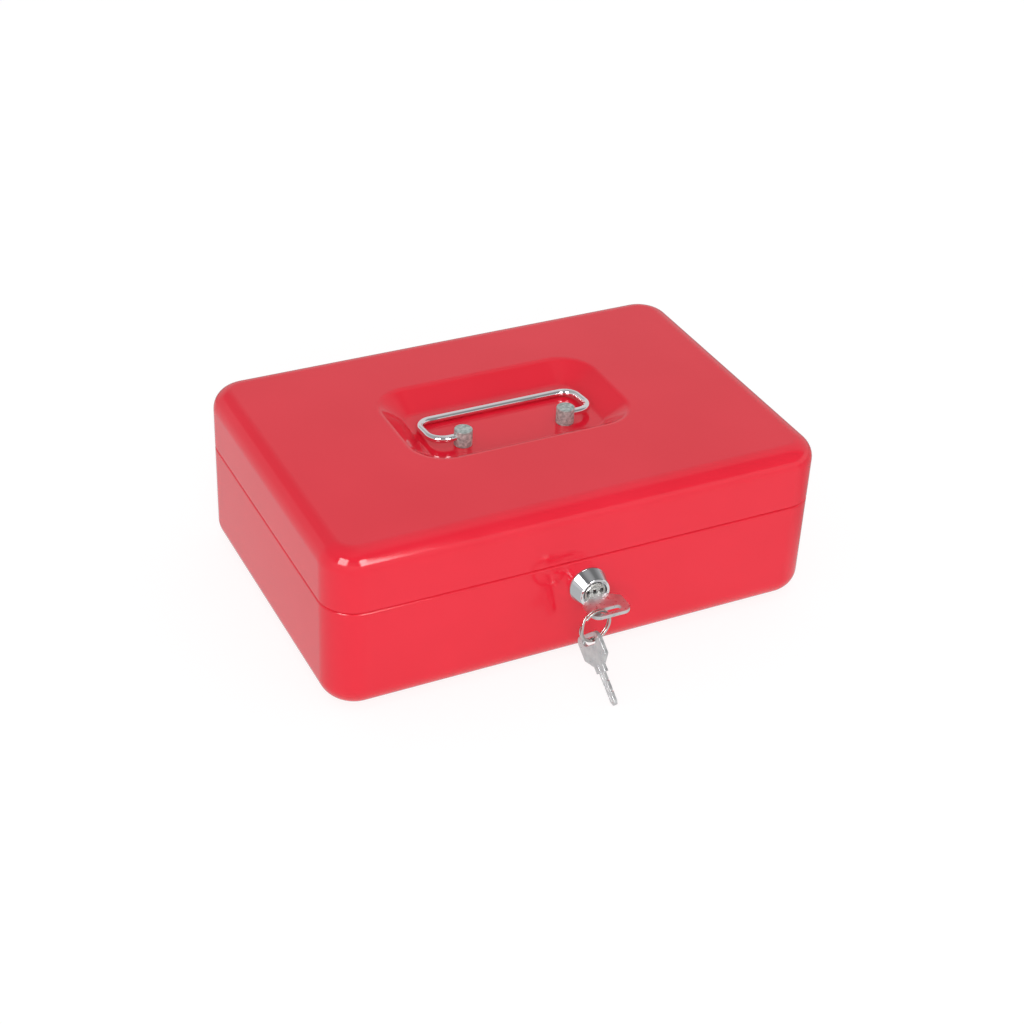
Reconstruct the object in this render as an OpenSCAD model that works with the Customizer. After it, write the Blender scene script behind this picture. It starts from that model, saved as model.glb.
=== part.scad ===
// Lockable steel cash box: drawn base and lid, recessed bail handle, cam lock with
// two keys on a split ring, external butt hinges and a lift-out coin tray.
// Millimetres. +X to the right, -Y to the front (lock side), +Z up.
// The origin is the centre of the flat underside of the base.

/* [Box] */
// Outside length of the box, side to side
box_w = 250; // [230:1:280]
// Outside depth of the box, front to back
box_d = 168; // [160:1:190]
// Height of the closed box
box_h = 84; // [82:0.5:92]
// Height of the seam between base and lid
seam_h = 54; // [53:0.5:56]
// Radius of the upright corners
corner_r = 17; // [15:0.5:20]
// Radius of the lid's top edge
top_r = 10; // [7:0.5:11]
// Radius of the base's bottom edge
bottom_r = 11; // [7:0.5:13]
// Thickness of the steel sheet
sheet = 0.9; // [0.7:0.1:1]
// Height of the base's inner rim above the seam
rim_h = 10; // [8:0.5:11]
// Gap between the base's rim and the lid's wall
rim_gap = 0.5; // [0.45:0.05:0.7]
// Open seam under the lid's edge
seam_gap = 0.4; // [0.3:0.1:0.6]

/* [Handle recess] */
// Length of the recess at the lid's face
recess_w = 118; // [116:1:130]
// Depth of the recess front to back at the lid's face
recess_d = 70; // [68:0.5:74]
// Distance of the recess's middle behind the lid's middle
recess_y = 7.2; // [6:0.2:8]
// Corner radius of the recess at the lid's face
recess_r = 20; // [18:0.5:24]
// Drop from the lid's face to the recess floor
recess_drop = 8.5; // [8:0.1:9]
// Radius of the rounded lip round the recess
lip_r = 8.7; // [8:0.1:9.2]
// Radius where the recess wall meets its floor
sink_r = 8.7; // [8:0.1:9.2]

/* [Handle] */
// Diameter of the bail's wire
wire_d = 3.6; // [3.2:0.1:4]
// Half of the bail's width, to the middle of its arms
bail_half = 42; // [40:0.5:43]
// Distance from the pivots to the middle of the grip
bail_reach = 22.9; // [21:0.1:24]
// Bend radius at the two ends of the grip
grip_bend = 7.5; // [6:0.5:8]
// Bend radius between the arms and the pivot stubs
stub_bend = 8; // [7:0.5:8.5]
// Distance from the middle of an arm to the axis of its post
post_inset = 15; // [13:0.5:17]
// Distance of the posts in front of the lid's middle
post_front = 4.4; // [3:0.2:5]
// Diameter of a post
post_d = 8.8; // [8:0.1:9.2]
// Height of a post above the recess floor
post_h = 8.4; // [8:0.1:9]
// Height of the cross hole above the recess floor
pivot_h = 4.5; // [4.2:0.1:4.7]
// How far the stub reaches into its post
stub_in = 5.6; // [4:0.1:6]
// Gap under the resting grip
grip_gap = 0.3; // [0.2:0.1:0.5]
// Diameter of the spigot that holds a post
spigot_d = 4; // [3:0.1:5]
// Outside diameter of the washer under a post
post_washer_d = 9; // [8:0.5:11]
// Thickness of the washer under a post
post_washer_t = 0.8; // [0.6:0.1:1]

/* [Hinges] */
// Distance of each hinge's middle from the box's end
hinge_inset = 55; // [45:1:65]
// Length of a hinge
hinge_w = 45; // [40:1:52]
// Height of a leaf above or below the hinge pin
leaf_h = 16; // [14:0.5:17]
// Thickness of a leaf
leaf_t = 1.2; // [1:0.1:1.4]
// Diameter of the hinge pin
pin_d = 3; // [2.6:0.1:3.4]
// Gap between neighbouring knuckles
knuckle_gap = 0.3; // [0.2:0.1:0.5]

/* [Lock] */
// Height of the lock's axis
lock_h = 39.2; // [38:0.2:40.5]
// Diameter of the lock's bezel at the wall
bezel_d = 18.5; // [17:0.5:20]
// Diameter of the bezel's front rim
bezel_face_d = 15; // [14.4:0.2:16]
// Distance that the bezel stands out from the wall
bezel_out = 8; // [7.5:0.1:9]
// Diameter of the lock's barrel
barrel_d = 14; // [12.5:0.5:15]
// Length of the barrel behind the wall's face
barrel_in = 12; // [11.6:0.1:12.6]
// Diameter of the plug
plug_d = 9.2; // [9:0.1:9.6]
// Diameter of the plug's head
plug_head_d = 11.4; // [11:0.1:11.6]
// Thickness of the plug's head
plug_head_t = 1.6; // [1.5:0.1:2]
// Thickness of the fixing nut
nut_t = 3; // [2.4:0.1:3.4]
// Width of the fixing nut across its flats
nut_flats = 17.8; // [17:0.1:18.2]
// Thickness of the washer under the nut
lock_washer_t = 0.8; // [0.6:0.1:1]
// Reach of the cam from the lock's axis
cam_reach = 20; // [19:0.5:21]
// Width of the cam
cam_w = 7; // [6:0.5:7.5]
// Thickness of the cam
cam_t = 2; // [1.5:0.1:2.2]
// Diameter of the screw that holds the cam
cam_screw_d = 3; // [2.5:0.1:3.4]
// Number of wafers in the plug
wafer_count = 4; // [2:1:4]
// Distance between neighbouring wafers
wafer_pitch = 2.6; // [2.2:0.1:2.8]
// Thickness of a wafer
wafer_t = 1; // [0.8:0.05:1.1]

/* [Lid catch] */
// Thickness of the catch's strip
catch_t = 1.2; // [1:0.1:1.4]
// Width of the catch
catch_w = 12; // [10:0.5:13]
// Distance of the catch's near edge from the lock's axis
catch_x = 11; // [10.8:0.1:11.8]
// Distance from the lid's wall to the catch's hanging leg
catch_inset = 5; // [4.4:0.1:5.4]
// Length of the catch's hook
catch_hook = 11; // [10.6:0.1:12]
// Gap between the locked cam and the hook
catch_gap = 1; // [0.6:0.1:1.2]

/* [Keys] */
// Thickness of a key
key_t = 1.8; // [1.6:0.1:2]
// Width of a key's bow
bow_w = 19.6; // [19:0.1:20.2]
// Length of a key's bow
bow_l = 15.5; // [14.5:0.5:16.5]
// Length of the bow's slanting corners
bow_slant = 4; // [3:0.5:5]
// Radius of the two corners at the bow's end
bow_round = 4; // [2:0.5:5]
// Width of the slot in the bow
slot_w = 3.4; // [3.2:0.1:3.6]
// Length of the slot in the bow
slot_l = 11.2; // [10.8:0.1:11.6]
// Width of the bar between the slot and the bow's end
slot_bar = 2; // [1.6:0.1:2.4]
// Width of a key's shoulder
shoulder_w = 8; // [7:0.2:8.4]
// Length of a key's shoulder
shoulder_l = 3.5; // [3:0.1:4]
// Width of a key's blade
blade_w = 3.6; // [3.2:0.1:3.8]
// Length of a key's blade
blade_l = 15.7; // [15:0.1:17]
// Depth of the cuts in a blade
cut_depth = 0.5; // [0.3:0.1:0.8]
// Depth of the plug face's recess for the shoulder
shoulder_sink = 1.2; // [1:0.1:1.4]

/* [Split ring] */
// Radius of the ring, to the middle of its wire
ring_r = 7.8; // [7.7:0.1:8.2]
// Thickness of the ring's wire, seen from its side
ring_t = 1.2; // [1:0.1:1.3]
// Width of the two turns lying together
ring_w = 2; // [1.7:0.1:2.1]
// Turn of the hanging ring about the upright
ring_turn = 9; // [6:1:11]
// Distance of the ring's middle below the lock's axis
ring_rise = 5.4; // [5.2:0.1:5.6]
// Gap between the spare key's tip and the table
tip_gap = 0.3; // [0.2:0.1:0.5]

/* [Coin tray] */
// Depth of the tray below its flange
tray_h = 28; // [24:1:29]
// Thickness of the tray's walls
tray_wall = 1.6; // [1.4:0.1:2]
// Thickness of the tray's flange
flange_t = 1.5; // [1.2:0.1:2]
// Gap between the tray's body and the base's rim
tray_gap = 2.5; // [2.4:0.1:4]
// Front to back size of the coin cups
cup_d = 74; // [64:1:80]
// Half of the width left free for the lock
notch_half = 30; // [28:1:34]
// Depth left free behind the lock
notch_d = 19; // [18:0.5:24]
// Drop of the dividers below the tray's flange
divider_drop = 9; // [6:0.5:12]
// Radius of the scooped floor of the coin cups
scoop_r = 14; // [10:0.5:16]

/* [Fits] */
// Radial clearance of a turning or sliding fit
fit = 0.05; // [0.03:0.01:0.08]
// Clearance of pieces that only lie near each other
loose = 0.2; // [0.15:0.05:0.3]

/* [Hidden] */
$fn = 72;
// Overlap that joins one solid's stretches
lap = 1;

// Box
half_w = box_w / 2;
half_d = box_d / 2;
rim_step = sheet + rim_gap;
lid_low = seam_h + seam_gap / 2;
base_high = seam_h - seam_gap / 2;
rim_top = seam_h + rim_h;

// Recess
wall_turn = acos(1 - recess_drop / (lip_r + sink_r));
wall_run = (lip_r + sink_r) * sin(wall_turn);
floor_z = box_h - recess_drop;

// Handle
wire_r = wire_d / 2;
post_x = bail_half - post_inset;
spread_r = 2.8;
pivot_z = floor_z + pivot_h;
bail_drop = asin((pivot_h - wire_r - grip_gap) / bail_reach);

// Hinges
hinge_x = half_w - hinge_inset;
pin_r = pin_d / 2;
knuckle_r = pin_r + fit + leaf_t;
// Gap between the knuckles and the back wall
knuckle_off = 0.3;
axis_y = half_d + knuckle_off + knuckle_r;
knuckle_w = (hinge_w - 2 * knuckle_gap) / 3;

// Lock
plug_r = plug_d / 2;
plug_face = bezel_out - loose;
cup_floor = plug_face - plug_head_t - fit;
cup_r = plug_head_d / 2 + 2 * loose;
plug_back = barrel_in + 1;
cam_back = plug_back + cam_t;
cam_washer_t = 0.6;
cam_washer_d = 8.2;
washer_back = cam_back + cam_washer_t;
screw_head_h = 2;
screw_slot = 1;
wafer_first = 3;
screw_in = 2.2;
wafer_h = 5;
window_h = key_t + 2 * loose;
window_w = blade_w + 2 * loose;
spring_r = 0.33;
spring_wire = 0.12;
spring_turns = 5;
notch_low = 1.5;
spring_start = 0.6;
spring_stop = 3.4;

// Keys
key_l = bow_l + shoulder_l + blade_l;
shoulder_end = bow_l + shoulder_l;
shoulder_seat = plug_face - shoulder_sink + loose;
blade_end = shoulder_seat - blade_l;
bow_end_y = -half_d - shoulder_seat - shoulder_end;
slot_mid = slot_bar + slot_w / 2;
ring_x = -(bow_w / 2 + slot_l / 2) / 2;
ring_z = lock_h - ring_rise;
ring_cross = sqrt(ring_r * ring_r - ring_rise * ring_rise);
ring_y = bow_end_y + slot_mid - ring_cross * sin(ring_turn);
wire_in_slot = slot_mid - loose;
wire_along = slot_l / 2 - slot_w / 2 - loose;
tip_half = blade_w / 5;
hang_down = key_l - wire_in_slot;
hang_side = wire_along + tip_half;
hang_reach = norm([hang_down, hang_side]);
hang_drop = ring_z - ring_r - tip_gap;
spare_lean = atan2(hang_side, hang_down) + acos(min(1, hang_drop / hang_reach));

// Tray
seat_z = rim_top + loose;
tray_top = seat_z + flange_t;
tray_low = seat_z - tray_h;
tray_half_w = half_w - rim_step - sheet - tray_gap;
tray_half_d = half_d - rim_step - sheet - tray_gap;
tray_r = corner_r - rim_step - sheet - tray_gap;
flange_inset = rim_step + 2 * loose;
divider_top = seat_z - divider_drop;

// ---------- shared shapes ----------

// Rectangle with true round corners, centred
module round_rect(w, d, r) {
  square([w, d - 2 * r], center = true);
  square([w - 2 * r, d], center = true);
  for (sx = [-1, 1], sy = [-1, 1])
    translate([sx * (w / 2 - r), sy * (d / 2 - r)]) circle(r);
}

// Carries a wall's section round a rounded rectangle: x is measured outwards from
// the corner's centre and y is the height
module carry_round(w, d, r) {
  for (q = [[1, 1, 0], [-1, 1, 90], [-1, -1, 180], [1, -1, 270]])
    translate([q[0] * (w / 2 - r), q[1] * (d / 2 - r), 0])
      rotate([0, 0, q[2]])
        rotate_extrude(angle = 90) children();
  for (side = [0, 180])
    rotate([0, 0, side]) {
      translate([w / 2 - r, d / 2 - r, 0])
        rotate([90, 0, 0])
          linear_extrude(d - 2 * r) children();
      translate([r - w / 2, d / 2 - r, 0])
        rotate([90, 0, 90])
          linear_extrude(w - 2 * r) children();
    }
}

// Section of a solid with a rounded top edge, from its middle out to reach
module crowned(reach, low, high, edge) {
  intersection() {
    union() {
      translate([0, low]) square([reach, high - edge - low]);
      translate([0, low]) square([reach - edge, high - low]);
      translate([reach - edge, high - edge]) circle(edge);
    }
    translate([0, low]) square([reach, high - low]);
  }
}

// Points along an arc
function arc(cx, cy, r, from, to, steps = 12) =
  [for (i = [0:steps]) let (a = from + (to - from) * i / steps)
    [cx + r * cos(a), cy + r * sin(a)]];

// Puts lock pieces on the lock's axis: z runs out of the front wall, y points up
module at_lock() {
  translate([0, -half_d, lock_h]) rotate([90, 0, 0]) children();
}

// Round rod along X
module rod_x(r, from, to) {
  translate([from, 0, 0]) rotate([0, 90, 0]) cylinder(r = r, h = to - from);
}

// Flat washer standing on its lower face
module washer(outer_d, inner_d, t) {
  difference() {
    cylinder(d = outer_d, h = t);
    translate([0, 0, -lap]) cylinder(d = inner_d, h = t + 2 * lap);
  }
}

// ---------- base ----------

// Section of the base: rounded bottom edge, wall, shoulder under the seam, inner rim
module base_section() {
  shoulder_z = base_high - rim_step;
  rim_r = corner_r - rim_step;
  difference() {
    union() {
      mirror([0, 1]) crowned(corner_r, -shoulder_z, 0, bottom_r);
      intersection() {
        union() {
          translate([0, shoulder_z - lap]) square([rim_r, rim_step + lap]);
          translate([rim_r, shoulder_z]) circle(rim_step);
        }
        translate([0, shoulder_z - lap]) square([corner_r, rim_step + lap]);
      }
      translate([0, shoulder_z]) square([rim_r, rim_top - shoulder_z]);
    }
    mirror([0, 1])
      crowned(corner_r - sheet, sheet - shoulder_z, -sheet, bottom_r - sheet);
    polygon([
      [0, shoulder_z - 2 * sheet],
      [corner_r - sheet, shoulder_z - 2 * sheet],
      [corner_r - sheet, shoulder_z - sheet],
      [rim_r - sheet, shoulder_z - sheet + rim_step],
      [rim_r - sheet, rim_top + lap],
      [0, rim_top + lap]
    ]);
  }
}

// Drawn steel box with its inner rim and the hole for the lock
module base_shell() {
  floor_w = box_w - 2 * corner_r + 2 * lap;
  floor_d = box_d - 2 * corner_r + 2 * lap;
  color("crimson") difference() {
    union() {
      carry_round(box_w, box_d, corner_r) base_section();
      translate([0, 0, sheet / 2]) cube([floor_w, floor_d, sheet], center = true);
    }
    at_lock() translate([0, 0, -3 * sheet])
      cylinder(d = barrel_d + 2 * fit, h = 4 * sheet);
  }
}

// ---------- lid ----------

// Section of the recess's wall: a lip that rolls over and a bend up from the floor
module recess_section() {
  lip_z = box_h - lip_r;
  sink_x = recess_r - wall_run;
  sink_z = floor_z + sink_r;
  polygon(concat(
    [[recess_r + lap, box_h]],
    arc(recess_r, lip_z, lip_r, 90, 90 + wall_turn),
    arc(sink_x, sink_z, sink_r, wall_turn - 90, -90),
    [[0, floor_z], [0, floor_z - sheet]],
    arc(sink_x, sink_z, sink_r + sheet, -90, wall_turn - 90),
    arc(recess_r, lip_z, lip_r - sheet, 90 + wall_turn, 90),
    [[recess_r + lap, box_h - sheet]]
  ));
}

// Drawn steel lid with the sunk dish for its handle
module lid_shell() {
  plate_w = box_w - 2 * corner_r + 2 * lap;
  plate_d = box_d - 2 * corner_r + 2 * lap;
  floor_w = recess_w - 2 * recess_r + 2 * lap;
  floor_d = recess_d - 2 * recess_r + 2 * lap;
  color("crimson") difference() {
    union() {
      carry_round(box_w, box_d, corner_r) difference() {
        crowned(corner_r, lid_low, box_h, top_r);
        crowned(corner_r - sheet, lid_low - lap, box_h - sheet, top_r - sheet);
      }
      translate([0, 0, box_h - sheet]) linear_extrude(sheet) difference() {
        square([plate_w, plate_d], center = true);
        translate([0, recess_y]) round_rect(recess_w, recess_d, recess_r);
      }
      translate([0, recess_y, 0]) {
        carry_round(recess_w, recess_d, recess_r) recess_section();
        translate([0, 0, floor_z - sheet / 2])
          cube([floor_w, floor_d, sheet], center = true);
      }
    }
    for (side = [-1, 1])
      translate([side * post_x, -post_front, floor_z - 2 * sheet])
        cylinder(d = spigot_d + 2 * fit, h = 3 * sheet);
  }
}

// Bent strip inside the lid's front wall: weld pad, step over the rim, leg and hook
module lid_catch() {
  wall_y = -half_d + sheet;
  step_z = rim_top + catch_gap;
  leg_y = wall_y + catch_inset - catch_t;
  hook_z = lock_h - cam_w / 2 - catch_gap - catch_t;
  color("lightgray") translate([catch_x, 0, 0]) {
    translate([0, wall_y, step_z]) cube([catch_w, catch_t, box_h - top_r - step_z]);
    translate([0, wall_y, step_z]) cube([catch_w, catch_inset, catch_t]);
    translate([0, leg_y, hook_z]) cube([catch_w, catch_t, step_z + catch_t - hook_z]);
    translate([0, leg_y, hook_z]) cube([catch_w, catch_hook, catch_t]);
  }
}

// ---------- hinges ----------

// One leaf with its knuckles, welded flat on the back wall. up is -1 on the base, with
// the two outer knuckles, and 1 on the lid, with the middle one
module hinge_leaf(side, up) {
  room = knuckle_r + 2 * loose;
  pitch = knuckle_w + knuckle_gap;
  own = up < 0 ? [-1, 1] : [0];
  others = up < 0 ? [0] : [-1, 1];
  color("crimson") translate([side * hinge_x, 0, seam_h]) difference() {
    union() {
      translate([-hinge_w / 2, half_d, up < 0 ? -leaf_h : 0])
        cube([hinge_w, leaf_t, leaf_h]);
      for (n = own)
        translate([n * pitch, axis_y, 0]) rod_x(knuckle_r, -knuckle_w / 2, knuckle_w / 2);
    }
    for (n = others)
      translate([n * pitch, axis_y, 0])
        rod_x(room, -knuckle_w / 2 - knuckle_gap, knuckle_w / 2 + knuckle_gap);
    translate([0, axis_y, 0]) rod_x(pin_r + fit, -hinge_w, hinge_w);
  }
}

module hinge_leaf_base_left() { hinge_leaf(-1, -1); }
module hinge_leaf_base_right() { hinge_leaf(1, -1); }
module hinge_leaf_lid_left() { hinge_leaf(-1, 1); }
module hinge_leaf_lid_right() { hinge_leaf(1, 1); }

// Hinge pin with a spread head at each end
module hinge_pin(side) {
  head_t = pin_r / 2;
  head_r = pin_r + leaf_t / 2;
  end_x = hinge_w / 2;
  color("silver") translate([side * hinge_x, axis_y, seam_h]) {
    rod_x(pin_r, -end_x - head_t, end_x + head_t);
    rod_x(head_r, -end_x - head_t, -end_x);
    rod_x(head_r, end_x, end_x + head_t);
  }
}

module hinge_pin_left() { hinge_pin(-1); }
module hinge_pin_right() { hinge_pin(1); }

// ---------- handle ----------

// Turned post with its blind cross hole and a spigot spread under the lid's washer
module handle_post(side) {
  bevel = post_d / 16;
  under = sheet + post_washer_t;
  color("gray") translate([side * post_x, -post_front, floor_z]) difference() {
    rotate_extrude() polygon([
      [0, -under - post_washer_t], [spread_r, -under - post_washer_t],
      [spread_r, -under], [spigot_d / 2, -under], [spigot_d / 2, 0], [post_d / 2, 0],
      [post_d / 2, post_h - bevel], [post_d / 2 - bevel, post_h], [0, post_h]
    ]);
    translate([0, 0, pivot_h]) mirror([side < 0 ? 1 : 0, 0, 0])
      rod_x(wire_r + fit, post_d / 2 - stub_in - loose, post_d);
  }
}

module handle_post_left() { handle_post(-1); }
module handle_post_right() { handle_post(1); }

// Flat washers between the spread spigots and the underside of the lid
module post_washers() {
  color("silver") for (side = [-1, 1])
    translate([side * post_x, -post_front, floor_z - sheet - post_washer_t])
      washer(post_washer_d, spigot_d + 2 * fit, post_washer_t);
}

// Quarter bend of the bail's wire in its own plane, about a centre
module wire_bend(x, y, r, from) {
  translate([x, y, 0]) rotate([0, 0, from])
    rotate_extrude(angle = 90) translate([r, 0]) circle(wire_r);
}

// Bent wire bail: grip, two arms and two stubs that turn in the posts
module bail_handle() {
  arm = bail_reach - grip_bend - stub_bend;
  stub_x = post_x + post_d / 2 - stub_in;
  color("silver") translate([0, -post_front, pivot_z]) rotate([-bail_drop, 0, 0]) {
    translate([0, bail_reach, 0]) rod_x(wire_r, grip_bend - bail_half, bail_half - grip_bend);
    for (side = [0, 1]) mirror([side, 0, 0]) {
      wire_bend(bail_half - grip_bend, bail_reach - grip_bend, grip_bend, 0);
      translate([bail_half, stub_bend, 0]) rotate([-90, 0, 0]) cylinder(r = wire_r, h = arm);
      wire_bend(bail_half - stub_bend, stub_bend, stub_bend, -90);
      rod_x(wire_r, stub_x, bail_half - stub_bend);
    }
  }
}

// ---------- lock ----------

// Cone-shaped bezel and the barrel behind it, one casting
module lock_body() {
  edge = 0.3;
  channel_l = barrel_in + wafer_first + wafer_t;
  color("silver") at_lock() difference() {
    rotate_extrude() polygon([
      [plug_r + fit, -barrel_in], [barrel_d / 2, -barrel_in], [barrel_d / 2, 0],
      [bezel_d / 2, 0], [bezel_d / 2, sheet], [bezel_face_d / 2, bezel_out - edge],
      [bezel_face_d / 2 - edge, bezel_out], [cup_r, bezel_out], [cup_r, cup_floor],
      [plug_r + fit, cup_floor]
    ]);
    for (side = [-1, 1])
      translate([side * plug_r, 0, channel_l / 2 - barrel_in - lap])
        cube([wafer_t + 2 * loose, wafer_h + 2 * loose, channel_l + 2 * lap], center = true);
  }
}

// Flat washer under the fixing nut
module lock_washer() {
  color("silver") at_lock() translate([0, 0, -sheet - lock_washer_t])
    washer(nut_flats, barrel_d + 2 * fit, lock_washer_t);
}

// Hexagon nut that clamps the lock to the wall
module lock_nut() {
  color("silver") at_lock() translate([0, 0, -sheet - lock_washer_t - nut_t]) difference() {
    cylinder(d = nut_flats / cos(30), h = nut_t, $fn = 6);
    translate([0, 0, -lap]) cylinder(d = barrel_d + 2 * fit, h = nut_t + 2 * lap);
  }
}

// Places of the wafers along the plug
module at_wafers() {
  for (n = [0:wafer_count - 1])
    translate([0, 0, wafer_first - n * wafer_pitch]) children();
}

// Plug: head with a wide recess for the key's shoulder, keyway and wafer slots
module lock_plug() {
  head_r = plug_head_d / 2;
  head_z = cup_floor + fit;
  color("gainsboro") at_lock() difference() {
    rotate_extrude() polygon([
      [0, -plug_back], [plug_r, -plug_back], [plug_r, head_z], [head_r, head_z],
      [head_r, plug_face - loose], [head_r - loose, plug_face], [0, plug_face]
    ]);
    translate([0, 0, plug_face - shoulder_sink / 2 + lap / 2])
      cube([shoulder_w + 2 * loose, window_h, shoulder_sink + lap], center = true);
    translate([-window_w / 2, -window_h / 2, blade_end - 2 * loose])
      cube([window_w, window_h, plug_face - blade_end + lap]);
    at_wafers() difference() {
      cube([2 * plug_r + lap, wafer_h + 2 * fit, wafer_t + 4 * fit], center = true);
      translate([spring_stop, notch_low, -wafer_t]) cube([plug_r, wafer_h, 2 * wafer_t]);
    }
    translate([0, 0, -plug_back - lap])
      cylinder(d = cam_screw_d, h = screw_in + loose + lap);
  }
}

// Brass wafers, each with a window for the blade and a corner cut for its spring
module wafers() {
  color("goldenrod") at_lock() at_wafers() difference() {
    intersection() {
      cube([2 * plug_r, wafer_h, wafer_t], center = true);
      cylinder(r = plug_r - loose, h = wafer_t, center = true);
    }
    cube([window_w, window_h, 2 * wafer_t], center = true);
    translate([spring_start, notch_low - loose, -wafer_t])
      cube([plug_r, wafer_h, 2 * wafer_t]);
  }
}

// Points round the wire of a coil spring at the share t of its length
function coil_ring(t, h, sides) =
  let (a = 360 * spring_turns * t)
    [for (k = [0:sides - 1]) let (b = 360 * k / sides, r = spring_r + spring_wire * cos(b))
      [h * t + spring_wire * sin(b), r * cos(a), r * sin(a)]];

// Wafer spring: a coil along X from the wafer's corner to the plug's stop
module coil_spring(h) {
  sides = 4;
  rings = spring_turns * 8;
  polyhedron(
    points = [for (i = [0:rings]) each coil_ring(i / rings, h, sides)],
    faces = concat(
      [for (k = [1:sides - 2]) [0, k, k + 1]],
      [for (i = [0:rings - 1], k = [0:sides - 1], half = [0, 1])
        let (a = i * sides, b = a + sides, next = (k + 1) % sides)
          half == 0 ? [a + k, b + k, b + next] : [a + k, b + next, a + next]],
      [for (k = [1:sides - 2]) [rings * sides, rings * sides + k + 1, rings * sides + k]]
    )
  );
}

module wafer_springs() {
  inset = spring_wire + fit;
  color("silver") at_lock() at_wafers()
    translate([spring_start + inset, (notch_low + wafer_h / 2) / 2, 0])
      coil_spring(spring_stop - spring_start - 2 * inset);
}

// Flat cam on the plug's tail, upright while the lid is free
module lock_cam() {
  color("silver") at_lock() translate([0, 0, -cam_back]) difference() {
    linear_extrude(cam_t) {
      circle(d = plug_d);
      translate([-cam_w / 2, 0]) square([cam_w, cam_reach - cam_w / 2]);
      translate([0, cam_reach - cam_w / 2]) circle(d = cam_w);
    }
    translate([0, 0, -lap]) cylinder(d = cam_screw_d, h = cam_t + 2 * lap);
  }
}

module cam_washer() {
  color("silver") at_lock() translate([0, 0, -washer_back])
    washer(cam_washer_d, cam_screw_d, cam_washer_t);
}

// Slotted screw into the plug's tail
module cam_screw() {
  head_r = cam_screw_d;
  head_z = -washer_back - screw_head_h;
  color("silver") at_lock() difference() {
    rotate_extrude() polygon([
      [0, head_z], [head_r - loose, head_z], [head_r, head_z + loose],
      [head_r, -washer_back], [cam_screw_d / 2 - fit, -washer_back],
      [cam_screw_d / 2 - fit, screw_in - plug_back], [0, screw_in - plug_back]
    ]);
    translate([0, 0, head_z]) cube([2 * head_r + lap, screw_slot, screw_head_h], center = true);
  }
}

// ---------- keys and ring ----------

// Distance along a key of the cut that meets one wafer
function cut_place(n) = shoulder_end + shoulder_seat - wafer_first + n * wafer_pitch;

// Round-ended slot across a key's bow
module bow_slot() {
  translate([0, slot_mid]) {
    square([slot_l - slot_w, slot_w], center = true);
    for (side = [-1, 1])
      translate([side * (slot_l - slot_w) / 2, 0]) circle(d = slot_w);
  }
}

// Flat key lying in its own XY plane, its bow's end at y = 0 and its tip at y = key_l
module key_blank() {
  bow = bow_w / 2;
  shoulder = shoulder_w / 2;
  blade = blade_w / 2;
  cut = 2 * cut_depth * sqrt(2);
  right = [
    [bow - bow_round, 0], [bow, bow_round], [bow, bow_l - bow_slant], [shoulder, bow_l],
    [shoulder, shoulder_end], [blade, shoulder_end], [blade, key_l - blade],
    [tip_half, key_l]
  ];
  left = [for (i = [len(right) - 1:-1:0]) [-right[i][0], right[i][1]]];
  translate([0, 0, -key_t / 2]) linear_extrude(key_t) difference() {
    union() {
      polygon(concat(right, left));
      for (side = [-1, 1])
        translate([side * (bow - bow_round), bow_round]) circle(bow_round);
    }
    bow_slot();
    for (n = [0:wafer_count - 1])
      translate([(n % 2 == 0 ? 1 : -1) * (blade + cut_depth), cut_place(n)])
        rotate([0, 0, 45]) square(cut, center = true);
  }
}

// Key that is in the lock
module key() {
  color("lightgray") translate([0, bow_end_y, lock_h]) key_blank();
}

// Split ring through the bow's slot and round its corner: two turns lie together
module key_ring() {
  groove = ring_w / 12;
  color("silver") translate([ring_x, ring_y, ring_z]) rotate([90, 0, ring_turn])
    rotate_extrude() translate([ring_r, 0]) {
      square([ring_t - 2 * groove, ring_w / 2], center = true);
      for (side = [-1, 1])
        translate([0, side * (ring_w / 4 + groove / 2)])
          square([ring_t, ring_w / 2 - groove], center = true);
    }
}

// Second key, hung on the bottom of the ring with its tip just off the table
module spare_key() {
  color("lightgray") translate([ring_x, ring_y, ring_z])
    rotate([0, 0, ring_turn]) translate([0, 0, -ring_r])
      rotate([-90 - spare_lean, 0, 0]) rotate([0, 90, 0])
        translate([-wire_along, -wire_in_slot, 0]) key_blank();
}

// ---------- coin tray ----------

// Outline of the tray, grown by one amount outside and by another round the lock
module tray_outline(grow, notch_grow) {
  difference() {
    round_rect(2 * (tray_half_w + grow), 2 * (tray_half_d + grow), tray_r + grow);
    translate([-notch_half - notch_grow, -half_d - lap])
      square([2 * (notch_half + notch_grow), notch_d + notch_grow + sheet + lap]);
  }
}

// Space of one compartment, from its floor up
module bay(x0, x1, y0, y1) {
  translate([(x0 + x1) / 2, (y0 + y1) / 2, tray_low + tray_wall])
    linear_extrude(tray_h) round_rect(x1 - x0, y1 - y0, 2 * tray_wall);
}

// Space of one coin cup: a compartment whose floor curves up at the front and back
module coin_cup(x0, x1, y0, y1) {
  low = tray_low + tray_wall;
  intersection() {
    bay(x0, x1, y0, y1);
    translate([x0, 0, low]) rotate([90, 0, 90]) linear_extrude(x1 - x0) {
      translate([y0, scoop_r]) square([y1 - y0, tray_h]);
      translate([y0 + scoop_r, 0]) square([y1 - y0 - 2 * scoop_r, tray_h]);
      for (y = [y0 + scoop_r, y1 - scoop_r])
        translate([y, scoop_r]) circle(scoop_r);
    }
  }
}

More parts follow.
